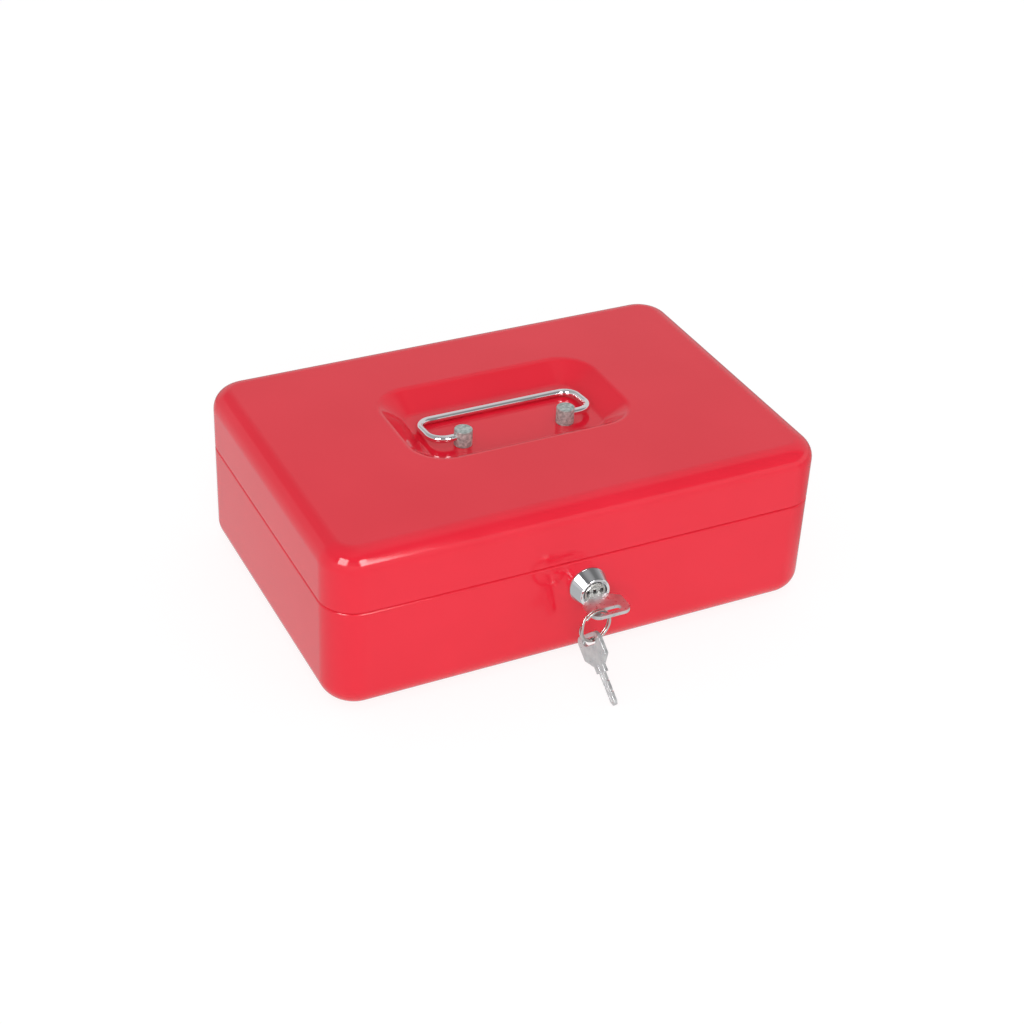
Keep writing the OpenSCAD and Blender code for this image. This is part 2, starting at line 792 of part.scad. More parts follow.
// Moulded tray: a flange that rests on the rim, five coin cups and a long note bay
module coin_tray() {
  flange_out = half_w - flange_inset - tray_half_w;
  inner_w = tray_half_w - tray_wall;
  inner_d = tray_half_d - tray_wall;
  lock_back = -half_d + sheet + notch_d + tray_wall;
  mid = -inner_d + cup_d;
  cup_w = (inner_w - notch_half - 2 * tray_wall) / 2;
  color("dimgray") difference() {
    union() {
      translate([0, 0, tray_low]) linear_extrude(tray_top - tray_low) tray_outline(0, 0);
      translate([0, 0, seat_z]) linear_extrude(flange_t) tray_outline(flange_out, 0);
    }
    intersection() {
      translate([0, 0, tray_low]) linear_extrude(2 * tray_h) tray_outline(-tray_wall, tray_wall);
      union() {
        for (side = [0, 1]) mirror([side, 0, 0]) {
          coin_cup(inner_w - cup_w, inner_w, -inner_d, mid);
          coin_cup(notch_half + tray_wall, inner_w - cup_w - tray_wall, -inner_d, mid);
        }
        coin_cup(-notch_half, notch_half, lock_back, mid);
        bay(-inner_w, inner_w, mid + tray_wall, inner_d);
        translate([0, 0, divider_top + tray_h / 2])
          cube([box_w, box_d, tray_h], center = true);
      }
    }
  }
}

// ---------- assembly ----------

base_shell();
hinge_leaf_base_left();
hinge_leaf_base_right();
hinge_pin_left();
hinge_pin_right();
lock_body();
lock_washer();
lock_nut();
lid_shell();
lid_catch();
hinge_leaf_lid_left();
hinge_leaf_lid_right();
handle_post_left();
handle_post_right();
post_washers();
bail_handle();
lock_plug();
lock_cam();
cam_washer();
cam_screw();
wafers();
wafer_springs();
key();
key_ring();
spare_key();
coin_tray();
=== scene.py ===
import math

import bmesh
import bpy
from mathutils import Matrix, Vector


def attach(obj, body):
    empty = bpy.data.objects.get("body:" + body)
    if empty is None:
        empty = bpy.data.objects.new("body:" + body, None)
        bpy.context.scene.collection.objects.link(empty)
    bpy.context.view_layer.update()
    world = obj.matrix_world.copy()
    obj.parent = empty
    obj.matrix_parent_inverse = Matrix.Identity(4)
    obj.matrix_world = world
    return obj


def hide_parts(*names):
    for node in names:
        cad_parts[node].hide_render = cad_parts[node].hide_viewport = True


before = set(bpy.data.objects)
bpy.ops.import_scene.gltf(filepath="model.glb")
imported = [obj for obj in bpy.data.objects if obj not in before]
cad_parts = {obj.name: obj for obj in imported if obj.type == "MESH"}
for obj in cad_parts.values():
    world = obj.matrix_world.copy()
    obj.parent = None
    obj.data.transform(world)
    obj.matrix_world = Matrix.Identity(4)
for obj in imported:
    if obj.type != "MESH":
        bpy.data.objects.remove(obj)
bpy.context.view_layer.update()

# ---- Table, light and camera ----
# A white studio table under soft white light from the front and above. What gloss paint
# and chrome show of the room is shaped apart: bright and dark bands, and two softboxes.

MM = 0.001


def tone(code):
    """Linear colour of an sRGB hex code."""
    parts = [int(code[i:i + 2], 16) / 255 for i in (0, 2, 4)]
    return tuple(c / 12.92 if c <= 0.04045 else ((c + 0.055) / 1.055) ** 2.4 for c in parts) + (1,)


def node(tree, kind, inputs=None, **settings):
    """Adds one node: inputs maps socket names or places to values or to other outputs."""
    made = tree.nodes.new("ShaderNode" + kind)
    for name, value in settings.items():
        setattr(made, name, value)
    for key, value in (inputs or {}).items():
        if isinstance(value, bpy.types.NodeSocket):
            tree.links.new(value, made.inputs[key])
        else:
            made.inputs[key].default_value = value
    return made


PURE_WHITE = (1, 1, 1, 1)
TABLE_SIZE = 6.0
TABLE_TOP = -0.2 * MM
TABLE_WHITE = "F6F6F6"
PAPER_GLOW = 1.1  # plain white, a little over full
PAPER_SHARE = 0.78  # of what the camera sees, the rest is lit and shaded paper
ROOM_LIGHT = 0.69

# Strengths that only gloss sees.
TABLE_IN_GLOSS = 0.73
ROOM_IN_GLOSS = 0.67
BRIGHT_IN_GLOSS = 0.9
HALF_IN_GLOSS = 0.5
DIM_IN_GLOSS = 0.4
DARK_IN_GLOSS = 0.25

bpy.ops.object.select_all(action="DESELECT")
bpy.ops.mesh.primitive_plane_add(size=TABLE_SIZE, location=(0, 0, TABLE_TOP))
table = bpy.context.object
table.name = "table"
bpy.ops.object.transform_apply(location=True, rotation=True, scale=True)

# The camera sees white paper with a faint shadow left on it. Gloss sees it pale grey, and
# dimmer past the box: the fade runs over these distances, in metres, to the back right.
BACK_RIGHT = (0.8, 0.6, 0)
DIM_FROM, DIM_TO = 0.05, 0.1

table_top = bpy.data.materials.new("white_paper")
table_top.use_nodes = True
tree = table_top.node_tree
tree.nodes.clear()
path = node(tree, "LightPath")
matt = node(tree, "BsdfDiffuse", {"Color": tone(TABLE_WHITE)})
white = node(tree, "Emission", {"Color": PURE_WHITE, "Strength": PAPER_GLOW})
place = node(tree, "TexCoord")
past_box = node(tree, "VectorMath", {
    0: place.outputs["Object"], 1: BACK_RIGHT,
}, operation="DOT_PRODUCT")
fade = node(tree, "MapRange", {
    "Value": past_box.outputs["Value"], "From Min": DIM_FROM, "From Max": DIM_TO,
    "To Min": TABLE_IN_GLOSS, "To Max": DIM_IN_GLOSS,
})
grey = node(tree, "Emission", {"Color": PURE_WHITE, "Strength": fade.outputs[0]})
share = node(tree, "Math", {
    0: path.outputs["Is Camera Ray"], 1: PAPER_SHARE,
}, operation="MULTIPLY")
to_eye = node(tree, "MixShader", {0: share.outputs[0], 1: matt.outputs[0], 2: white.outputs[0]})
to_gloss = node(tree, "MixShader", {
    0: path.outputs["Is Glossy Ray"], 1: to_eye.outputs[0], 2: grey.outputs[0],
})
node(tree, "OutputMaterial", {"Surface": to_gloss.outputs[0]})
table.data.materials.append(table_top)

# The room, as gloss sees it. FRONT, LEFT and HIGH are the parts of a direction's y, x and z
# over which it changes: at the front it goes by height, and behind it is dimmer high up on
# the left.
FRONT_FROM, FRONT_TO = 0.02, -0.2
LEFT_FROM, LEFT_TO = 0.27, -0.05
HIGH_FROM, HIGH_TO = 0.38, 0.45
FRONT_BY_HEIGHT = (  # direction's z, strength
    (0.27, BRIGHT_IN_GLOSS), (0.36, DARK_IN_GLOSS), (0.86, DARK_IN_GLOSS), (0.93, HALF_IN_GLOSS),
)

world = bpy.data.worlds.new("studio")
bpy.context.scene.world = world
world.use_nodes = True
tree = world.node_tree
tree.nodes.clear()
path = node(tree, "LightPath")
way = node(tree, "TexCoord")
way = node(tree, "SeparateXYZ", {0: way.outputs["Generated"]})
in_front = node(tree, "MapRange", {
    "Value": way.outputs["Y"], "From Min": FRONT_FROM, "From Max": FRONT_TO,
})
high = node(tree, "MapRange", {
    "Value": way.outputs["Z"], "From Min": HIGH_FROM, "From Max": HIGH_TO,
    "To Min": ROOM_IN_GLOSS, "To Max": DIM_IN_GLOSS,
})
behind = node(tree, "MapRange", {
    "Value": way.outputs["X"], "From Min": LEFT_FROM, "From Max": LEFT_TO,
    "To Min": ROOM_IN_GLOSS, "To Max": high.outputs[0],
})
at_height = node(tree, "ValToRGB", {"Fac": way.outputs["Z"]})
steps = at_height.color_ramp.elements
for n, (height, strength) in enumerate(FRONT_BY_HEIGHT):
    step = steps[n] if n < len(steps) else steps.new(height)
    step.position, step.color = height, (strength,) * 3 + (1,)
in_gloss = node(tree, "Mix", {
    0: in_front.outputs[0], 2: behind.outputs[0], 3: at_height.outputs[0],
})
soft = node(tree, "Background", {"Color": PURE_WHITE, "Strength": ROOM_LIGHT})
white = node(tree, "Background", {"Color": PURE_WHITE, "Strength": 1.0})
grey = node(tree, "Background", {"Color": PURE_WHITE, "Strength": in_gloss.outputs[0]})
to_eye = node(tree, "MixShader", {
    0: path.outputs["Is Camera Ray"], 1: soft.outputs[0], 2: white.outputs[0],
})
to_gloss = node(tree, "MixShader", {
    0: path.outputs["Is Glossy Ray"], 1: to_eye.outputs[0], 2: grey.outputs[0],
})
node(tree, "OutputWorld", {"Surface": to_gloss.outputs[0]})

# The lamps stand round the lid's front left corner.
LAMPS_ROUND = Vector((-0.12, -0.08, 0.08))
LAMP_DISTANCE = 2.0


def lamp(name, azimuth, elevation, size, power, in_gloss):
    """Soft oblong lamp: it either lights the box or shows in its gloss."""
    az, el = math.radians(azimuth), math.radians(elevation)
    way = Vector((math.sin(az) * math.cos(el), -math.cos(az) * math.cos(el), math.sin(el)))
    light = bpy.data.lights.new(name, "AREA")
    light.shape = "RECTANGLE"
    light.size, light.size_y = size
    light.energy = power
    holder = bpy.data.objects.new(name, light)
    bpy.context.scene.collection.objects.link(holder)
    facing = (-way).to_track_quat("-Z", "Y")
    stand = Matrix.Translation(LAMPS_ROUND + way * LAMP_DISTANCE)
    holder.matrix_world = stand @ facing.to_matrix().to_4x4()
    holder.visible_camera = False
    holder.visible_diffuse = not in_gloss
    holder.visible_glossy = in_gloss


lamp("key_light", -20, 24, size=(1.2, 0.9), power=13.9, in_gloss=False)
lamp("left_softbox", -57, 33, size=(0.9, 1.1), power=27, in_gloss=True)
lamp("front_softbox", 10.1, 30, size=(0.72, 1.07), power=24, in_gloss=True)

AZIMUTH, ELEVATION, ROLL = (math.radians(a) for a in (-27.516, 33.499, 2.827))
DISTANCE = 979.272 * MM
AIM = Vector((3.14, 0, 26.476)) * MM
FOCAL = 1985.63 / 1024  # in picture widths
SENSOR = 36
back = Vector((
    math.sin(AZIMUTH) * math.cos(ELEVATION),
    -math.cos(AZIMUTH) * math.cos(ELEVATION),
    math.sin(ELEVATION),
))
right = Vector((0, 0, 1)).cross(back).normalized()
up = back.cross(right)
turned_right = right * math.cos(ROLL) + up * math.sin(ROLL)
turned_up = up * math.cos(ROLL) - right * math.sin(ROLL)
camera = bpy.data.objects.new("camera", bpy.data.cameras.new("camera"))
bpy.context.scene.collection.objects.link(camera)
camera.matrix_world = Matrix((
    (turned_right.x, turned_up.x, back.x, AIM.x + DISTANCE * back.x),
    (turned_right.y, turned_up.y, back.y, AIM.y + DISTANCE * back.y),
    (turned_right.z, turned_up.z, back.z, AIM.z + DISTANCE * back.z),
    (0, 0, 0, 1),
))
camera.data.sensor_width = SENSOR
camera.data.lens = FOCAL * SENSOR
bpy.context.scene.camera = camera
bpy.context.scene.view_settings.view_transform = "Standard"

# ---- Base shell ----
# Deep-drawn steel box with a necked-in rim that guides the lid. Degreased, sprayed
# and baked red enamel. The lock's hole is punched through its front wall.

NEAR = 1e-6  # places in a mesh that are this close, in metres, are the same
FACING = 0.99  # a face with this much of its normal along an axis faces that way


def begin(name, add, **where):
    """Starts a piece from a primitive and leaves it in edit mode, selected all over."""
    if bpy.context.mode == "EDIT_MESH":
        bpy.ops.object.mode_set(mode="OBJECT")
    bpy.ops.object.select_all(action="DESELECT")
    add(**where)
    piece = bpy.context.object
    piece.name = piece.data.name = name
    bpy.ops.object.transform_apply(location=True, rotation=True, scale=True)
    bpy.ops.object.mode_set(mode="EDIT")
    return piece


def pick(kind, test):
    """Selects the faces, edges or verts of the piece in edit mode that pass a test."""
    mesh = bmesh.from_edit_mesh(bpy.context.object.data)
    bpy.ops.mesh.select_all(action="DESELECT")
    bpy.ops.mesh.select_mode(type={"faces": "FACE", "edges": "EDGE", "verts": "VERT"}[kind])
    for part in getattr(mesh, kind):
        part.select_set(bool(test(part)))
    mesh.select_flush_mode()
    bmesh.update_edit_mesh(bpy.context.object.data)


def pull(x, y, z):
    """Extrudes what is selected."""
    bpy.ops.mesh.extrude_region_move(TRANSFORM_OT_translate={"value": (x, y, z)})


def join_up():
    """Merges what meets in the piece in edit mode and leaves it selected all over."""
    bpy.ops.mesh.select_all(action="SELECT")
    bpy.ops.mesh.remove_doubles(threshold=NEAR)


def turn_out():
    """Turns all the faces of the piece in edit mode outwards."""
    bpy.ops.mesh.select_all(action="SELECT")
    bpy.ops.mesh.normals_make_consistent(inside=False)


def round_plate(name, width, depth, radius, z, x=0.0, y=0.0, steps=16):
    """Starts a piece from a flat plate with round corners."""
    piece = begin(name, bpy.ops.mesh.primitive_plane_add, size=1, location=(x, y, z))
    bpy.ops.transform.resize(value=(width, depth, 1), center_override=(x, y, z))
    bpy.ops.mesh.bevel(offset=radius, segments=steps, profile=0.5, affect="VERTICES")
    return piece


def inset_along(points):
    """Insets the selected face through (inward, along its normal) points of a section."""
    last = (0.0, 0.0)
    for inward, out in points:
        bpy.ops.mesh.inset(thickness=inward - last[0], depth=out - last[1])
        last = (inward, out)


def rounded_edge(radius, steps):
    """Section of a rounded edge: how far in and how far on, step by step."""
    angles = [math.pi / 2 * (n + 1) / steps for n in range(steps)]
    return [(radius * (1 - math.cos(a)), radius * math.sin(a)) for a in angles]


def choose(piece):
    """Leaves edit mode with only this piece selected."""
    if bpy.context.mode == "EDIT_MESH":
        bpy.ops.object.mode_set(mode="OBJECT")
    bpy.ops.object.select_all(action="DESELECT")
    piece.select_set(True)
    bpy.context.view_layer.objects.active = piece


def modify(piece, kind, **settings):
    """Adds a modifier and applies it at once."""
    choose(piece)
    step = piece.modifiers.new(kind.lower(), kind)
    for name, value in settings.items():
        setattr(step, name, value)
    bpy.ops.object.modifier_apply(modifier=step.name)


def carve(piece, cutter, operation="DIFFERENCE"):
    """Cuts one piece with another, or joins them, and removes the second."""
    modify(piece, "BOOLEAN", object=cutter, operation=operation, solver="EXACT")
    bpy.data.objects.remove(cutter)


def ease_edges(piece, width, degrees=50):
    """Rounds the sharp edges a little, as sheared or moulded edges are."""
    modify(
        piece, "BEVEL", width=width, segments=2,
        limit_method="ANGLE", angle_limit=math.radians(degrees),
    )


def smooth(piece, degrees=35):
    """Smooth shading with crisp edges past an angle."""
    choose(piece)
    bpy.ops.object.shade_smooth_by_angle(angle=math.radians(degrees))
    modify(piece, "WEIGHTED_NORMAL", keep_sharp=True)


def finish_piece(piece, material, body, solid):
    """Gives a finished piece its material and its body, and hides the CAD node that it stands for.
    """
    choose(piece)
    piece.data.materials.clear()
    piece.data.materials.append(material)
    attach(piece, body)
    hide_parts(solid)


BOX_W, BOX_D, BOX_H = 250 * MM, 168 * MM, 84 * MM
CORNER = 17 * MM
SHEET = 0.9 * MM
BOTTOM_EDGE = 11 * MM
RIM_STEP = 1.4 * MM
RIM_TOP = 64 * MM
BASE_SHOULDER = 52.4 * MM
LOCK_Z = 39.2 * MM
BARREL_R = 7 * MM
SHEARED = 0.25 * MM  # round of the sheets' cut edges
SLIP = 0.05 * MM  # a hole is this much larger, in radius, than what goes through it
PUNCH_L = 8 * MM


def surface(name, colour, metallic=0.0, roughness=0.5, **sockets):
    """Starts a material: returns it, its tree and its principled shader."""
    made = bpy.data.materials.new(name)
    made.use_nodes = True
    tree = made.node_tree
    tree.nodes.clear()
    shader = node(tree, "BsdfPrincipled", {
        "Base Color": tone(colour), "Metallic": metallic, "Roughness": roughness, **sockets,
    })
    node(tree, "OutputMaterial", {"Surface": shader.outputs[0]})
    return made, tree, shader


def grain(tree, size_mm, detail=2.0):
    """Noise whose features are about size_mm across."""
    place = node(tree, "TexCoord")
    made = node(tree, "TexNoise", {
        "Vector": place.outputs["Object"], "Scale": 1000 / size_mm, "Detail": detail,
    })
    return made.outputs["Fac"]


def shaded(tree, fac, low, high, start=0.35, stop=0.65):
    """Runs a pattern from one colour to another."""
    ramp = node(tree, "ValToRGB", {"Fac": fac})
    ends = ramp.color_ramp.elements
    ends[0].position, ends[0].color = start, tone(low)
    ends[1].position, ends[1].color = stop, tone(high)
    return ramp.outputs["Color"]


def rough_from(tree, shader, fac, low, high, start=0.3, stop=0.7):
    """Lets a pattern vary the roughness."""
    spread = node(tree, "MapRange", {
        "Value": fac, "From Min": start, "From Max": stop, "To Min": low, "To Max": high,
    })
    tree.links.new(spread.outputs[0], shader.inputs["Roughness"])


def raised(tree, shader, fac, height_mm, strength=1.0):
    """Lets a pattern raise the surface by up to height_mm."""
    bump = node(tree, "Bump", {"Height": fac, "Strength": strength, "Distance": height_mm * MM})
    tree.links.new(bump.outputs[0], shader.inputs["Normal"])


# Stoving enamel, sprayed and baked: a strong cool red under a clear gloss, with the
# slow swell of orange peel and spray that is a shade thicker in places.
enamel, tree, shader = surface("stoving_enamel", "EF2238", roughness=0.09, IOR=1.5)
raised(tree, shader, grain(tree, 2.4), 0.004, 0.35)
tree.links.new(shaded(tree, grain(tree, 60), "ED2036", "F1243A"), shader.inputs["Base Color"])
rough_from(tree, shader, grain(tree, 18), 0.07, 0.11)

base = round_plate("base", BOX_W, BOX_D, CORNER, BOTTOM_EDGE)
pull(0, 0, BASE_SHOULDER - BOTTOM_EDGE)
inset_along(rounded_edge(RIM_STEP, 5))
pull(0, 0, RIM_TOP - BASE_SHOULDER - RIM_STEP)
bpy.ops.mesh.delete(type="ONLY_FACE")
turn_out()
pick("faces", lambda face: face.normal.z < -FACING)
inset_along(rounded_edge(BOTTOM_EDGE, 12))
modify(base, "SOLIDIFY", thickness=SHEET, offset=-1, use_even_offset=True)
ease_edges(base, SHEARED, 60)
lock_hole = begin(
    "lock_hole", bpy.ops.mesh.primitive_cylinder_add, vertices=64, radius=BARREL_R + SLIP,
    depth=PUNCH_L, location=(0, -BOX_D / 2, LOCK_Z), rotation=(math.pi / 2, 0, 0),
)
carve(base, lock_hole)
smooth(base)
finish_piece(base, enamel, "base", "base_shell")

# ---- Lid shell ----
# Drawn steel lid that drops over the rim, with a dish pressed into its top so that
# the handle lies below the face, and two holes for the posts. The same enamel.

LID_LOW = 54.2 * MM
TOP_EDGE = 10 * MM
DISH_W, DISH_D, DISH_CORNER = 118 * MM, 70 * MM, 20 * MM
DISH_Y = 7.2 * MM
DISH_DROP = 8.5 * MM
DISH_LIP, DISH_FOOT = 5 * MM, 4 * MM
DISH_SLOPE = math.radians(35.1)
DISH_STEPS = 8
DISH_FLOOR = BOX_H - DISH_DROP
POST_X, POST_Y = 27 * MM, -4.4 * MM
SPIGOT_R = 2 * MM

lid = round_plate("lid", BOX_W, BOX_D, CORNER, LID_LOW)
pull(0, 0, BOX_H - TOP_EDGE - LID_LOW)
inset_along(rounded_edge(TOP_EDGE, 12))
bpy.ops.mesh.delete(type="ONLY_FACE")
pick("faces", lambda face: len(face.verts) > 4)
bpy.ops.mesh.delete(type="ONLY_FACE")

# The dish starts as a plate in the open top, goes down along its section, and is then
# bridged to the top's edge.
bpy.ops.mesh.select_all(action="DESELECT")
bpy.ops.mesh.primitive_plane_add(size=1, location=(0, DISH_Y, BOX_H))
bpy.ops.transform.resize(value=(DISH_W, DISH_D, 1), center_override=(0, DISH_Y, BOX_H))
bpy.ops.mesh.bevel(offset=DISH_CORNER, segments=16, profile=0.5, affect="VERTICES")
turns = [DISH_SLOPE * n / DISH_STEPS for n in range(DISH_STEPS + 1)]
run = (DISH_LIP + DISH_FOOT) * math.tan(DISH_SLOPE / 2) + DISH_DROP / math.tan(DISH_SLOPE)
lip = [(DISH_LIP * math.sin(a), DISH_LIP * (math.cos(a) - 1)) for a in turns]
foot = [(run - DISH_FOOT * math.sin(a), DISH_FOOT * (1 - math.cos(a)) - DISH_DROP) for a in turns]
inset_along(lip[1:] + foot[::-1])
pick("edges", lambda edge: edge.is_boundary and min(v.co.z for v in edge.verts) > BOX_H - NEAR)
bpy.ops.mesh.bridge_edge_loops()
turn_out()
modify(lid, "SOLIDIFY", thickness=SHEET, offset=-1, use_even_offset=True)
ease_edges(lid, SHEARED, 60)
for side in (-1, 1):
    post_hole = begin(
        "post_hole", bpy.ops.mesh.primitive_cylinder_add, vertices=48, radius=SPIGOT_R + SLIP,
        depth=PUNCH_L, location=(side * POST_X, POST_Y, DISH_FLOOR),
    )
    carve(lid, post_hole)
smooth(lid)
finish_piece(lid, enamel, "lid", "lid_shell")

# ---- Handle posts and their washers ----
# Two turned steel posts, zinc plated, each with a blind cross hole for the bail. The
# spigot passes through the lid and is spread over a washer beneath.

POST_R, POST_H = 4.4 * MM, 8.4 * MM
POST_EDGE, POST_FOOT = 0.55 * MM, 0.15 * MM
PIVOT_H = 4.5 * MM
WIRE_R = 1.8 * MM
STUB_IN, STUB_PLAY = 5.6 * MM, 0.1 * MM
DRILL_OUT = 4 * MM
WASHER_R, WASHER_T = 4.5 * MM, 0.8 * MM
WASHER_EDGE = 0.12 * MM
SPREAD_R, SPREAD_EDGE = 2.8 * MM, 0.3 * MM


def turned(name, section, steps=64):
    """Turns a section of (radius, height) points about the upright through the origin."""
    radius, height = section[0]
    piece = begin(name, bpy.ops.mesh.primitive_plane_add, size=1, location=(radius, 0, height))
    bpy.ops.mesh.select_mode(type="VERT")
    bpy.ops.mesh.merge(type="CENTER")
    for next_radius, next_height in section[1:]:
        pull(next_radius - radius, 0, next_height - height)
        radius, height = next_radius, next_height
    bpy.ops.mesh.select_all(action="SELECT")
    bpy.ops.mesh.spin(steps=steps, angle=2 * math.pi, center=(0, 0, 0), axis=(0, 0, 1))
    join_up()
    turn_out()
    return piece


def in_mm(*points):
    """Points of a section that are written in millimetres."""
    return [(a * MM, b * MM) for a, b in points]


def settle(piece, place):
    """Moves a piece modelled about the origin to its place, in its mesh."""
    choose(piece)
    piece.matrix_world = place
    bpy.ops.object.transform_apply(location=True, rotation=True, scale=True)


# Barrel-plated zinc with a blue-green passivate over turned steel: a cool pale grey,
# mottled and half dull, so that it takes little red from the dish.
post_zinc, tree, shader = surface("barrel_plated_zinc", "ADB5B2", metallic=0.3, roughness=0.5)
tree.links.new(shaded(tree, grain(tree, 1.3, 3.0), "8C9794", "C9D1CE"), shader.inputs["Base Color"])
rough_from(tree, shader, grain(tree, 0.9), 0.42, 0.58)
raised(tree, shader, grain(tree, 0.7), 0.015, 0.5)

mid_edge = 0.3 * POST_EDGE
under = -SHEET - WASHER_T
for side, hand in ((-1, "left"), (1, "right")):
    post = turned(f"post_{hand}", [
        (0, under - WASHER_T), (SPREAD_R - SPREAD_EDGE, under - WASHER_T),
        (SPREAD_R, under - 0.6 * WASHER_T), (SPREAD_R, under),
        (SPIGOT_R, under), (SPIGOT_R, 0), (POST_R - POST_FOOT, 0), (POST_R, POST_FOOT),
        (POST_R, POST_H - POST_EDGE), (POST_R - mid_edge, POST_H - mid_edge),
        (POST_R - POST_EDGE, POST_H), (0, POST_H),
    ])
    cross_hole = begin(
        "cross_hole", bpy.ops.mesh.primitive_cylinder_add, vertices=48, radius=WIRE_R + SLIP,
        depth=STUB_IN + DRILL_OUT, rotation=(0, math.pi / 2, 0),
        location=(side * (POST_R + (DRILL_OUT - STUB_IN) / 2 - STUB_PLAY), 0, PIVOT_H),
    )
    carve(post, cross_hole)
    smooth(post, 30)
    settle(post, Matrix.Translation((side * POST_X, POST_Y, DISH_FLOOR)))
    finish_piece(post, post_zinc, "lid", f"handle_post_{hand}")

# Bright zinc on plain steel: silvery with a faint blue, satin, with a fine spangle.
zinc, tree, shader = surface("bright_zinc_plate", "B9BDC2", metallic=1.0, roughness=0.3)
tree.links.new(shaded(tree, grain(tree, 2.5, 3.0), "A3A8AE", "CDD0D2"), shader.inputs["Base Color"])
rough_from(tree, shader, grain(tree, 1.2), 0.22, 0.4)


def washer(name, outer, inner, thickness):
    """Flat stamped washer, its outer edge eased by the punch."""
    face = outer - WASHER_EDGE
    return turned(name, [
        (inner, 0), (face, 0), (outer, WASHER_EDGE), (outer, thickness - WASHER_EDGE),
        (face, thickness), (inner, thickness), (inner, 0),
    ])


washers = washer("post_washers", WASHER_R, SPIGOT_R + SLIP, WASHER_T)
smooth(washers, 30)
settle(washers, Matrix.Translation((-POST_X, POST_Y, DISH_FLOOR + under)))
bpy.ops.object.mode_set(mode="EDIT")
bpy.ops.mesh.select_all(action="SELECT")
bpy.ops.mesh.duplicate_move(TRANSFORM_OT_translate={"value": (2 * POST_X, 0, 0)})
finish_piece(washers, zinc, "lid", "post_washers")

# ---- Bail handle ----
# One length of steel wire bent into a flat bail, its two short stubs sprung into the
# posts. Polished and chromium plated: a mirror that carries long bright streaks.

ARM_X, REACH = 42 * MM, 22.9 * MM
GRIP_BEND, STUB_BEND = 7.5 * MM, 8 * MM
STUB_X = POST_X + POST_R - STUB_IN
WIRE_END = 0.3 * MM
DROP = math.radians(6.02)

# Bright chromium plate: near-white mirror with a slightly cool cast and a breath of
# haze where it has been handled.
chrome, tree, shader = surface("bright_chromium_plate", "F0F0F2", metallic=1.0, roughness=0.06)
rough_from(tree, shader, grain(tree, 4.0, 3.0), 0.04, 0.1)


def turn_left(x, y):
    """Carries the selected wire end a quarter turn to the left about a point."""
    bpy.ops.mesh.spin(steps=14, angle=-math.pi / 2, center=(x, y, 0), axis=(0, 0, 1))


bail = begin(
    "bail", bpy.ops.mesh.primitive_circle_add, vertices=32, radius=WIRE_R,
    location=(STUB_X, 0, 0), rotation=(0, math.pi / 2, 0),
)
stub, arm = ARM_X - STUB_BEND - STUB_X, REACH - GRIP_BEND - STUB_BEND
pull(stub, 0, 0)
turn_left(ARM_X - STUB_BEND, STUB_BEND)
pull(0, arm, 0)
turn_left(ARM_X - GRIP_BEND, REACH - GRIP_BEND)
pull(-2 * (ARM_X - GRIP_BEND), 0, 0)
turn_left(GRIP_BEND - ARM_X, REACH - GRIP_BEND)
pull(0, -arm, 0)
turn_left(STUB_BEND - ARM_X, STUB_BEND)
pull(stub, 0, 0)
join_up()
bpy.ops.mesh.fill_holes(sides=0)
turn_out()
ease_edges(bail, WIRE_END)
smooth(bail, 40)
settle(bail, Matrix.Translation((0, POST_Y, DISH_FLOOR + PIVOT_H)) @ Matrix.Rotation(-DROP, 4, "X"))
finish_piece(bail, chrome, "bail", "bail_handle")

# ---- Lock body, washer and nut ----
# Die-cast cam lock: a polished, chromium-plated bezel in front of the wall, a threaded
# barrel behind it, and a stamped washer and hexagon nut that clamp it.

AT_LOCK = Matrix.Translation((0, -BOX_D / 2, LOCK_Z)) @ Matrix.Rotation(math.pi / 2, 4, "X")
THREAD_END, THREAD_STEP, THREAD_DEEP = -11.4, 0.5, 0.35  # millimetres
NUT_FLATS, NUT_T = 17.8 * MM, 3 * MM
NUT_BACK = -SHEET - WASHER_T - NUT_T
NUT_SLOPE = 0.58

# The same plate on the casting, a shade darker, with a painted highlight: its front rim's colour
# runs to near white.
# Buffing has crowned the cone, so that it leans its reflections to the front by CROWN, as a slope.
CONE_GREY, PAINTED_RIM_HIGHLIGHT = "C8C9CC", "F4F4F5"
RIM_HIGHLIGHT_FROM, RIM_HIGHLIGHT_TO = -91.5 * MM, -91.9 * MM
CROWN = 0.38
ONE_TO_ONE = 1 / MM  # raises by the slope itself

bezel_chrome, tree, shader = surface(
    "chromium_plate_painted_rim_highlight", CONE_GREY, metallic=1.0, roughness=0.07,
)
place = node(tree, "TexCoord")
place = node(tree, "SeparateXYZ", {0: place.outputs["Object"]})
lean = node(tree, "Math", {0: place.outputs["Y"], 1: CROWN}, operation="MULTIPLY")
raised(tree, shader, lean.outputs[0], ONE_TO_ONE)
# Painted highlight: across the front rim the base colour runs from the cone's grey to near white.
rim_highlight = node(tree, "MapRange", {
    "Value": place.outputs["Y"], "From Min": RIM_HIGHLIGHT_FROM, "From Max": RIM_HIGHLIGHT_TO,
})
tree.links.new(
    shaded(tree, rim_highlight.outputs[0], CONE_GREY, PAINTED_RIM_HIGHLIGHT, 0, 1), shader.inputs["Base Color"],
)

thread = [
    (BARREL_R - (THREAD_DEEP if n % 2 else 0) * MM, (THREAD_END + THREAD_STEP * n) * MM)
    for n in range(13)
]
lock = turned("lock_body", in_mm(
    (4.65, -12), (6.4, -12),
) + thread + [(BARREL_R, NUT_BACK), (BARREL_R, 0)] + in_mm(
    (9.1, 0), (9.25, 0.15), (9.25, 0.8), (9.12, 1.0), (7.62, 7.3), (7.5, 7.66), (7.36, 7.9),
    (7.1, 8), (6.35, 8), (6.2, 7.94), (6.1, 7.8), (6.1, 6.15), (4.65, 6.15), (4.65, -12),
), steps=96)
smooth(lock, 30)
settle(lock, AT_LOCK)
finish_piece(lock, bezel_chrome, "base", "lock_body")

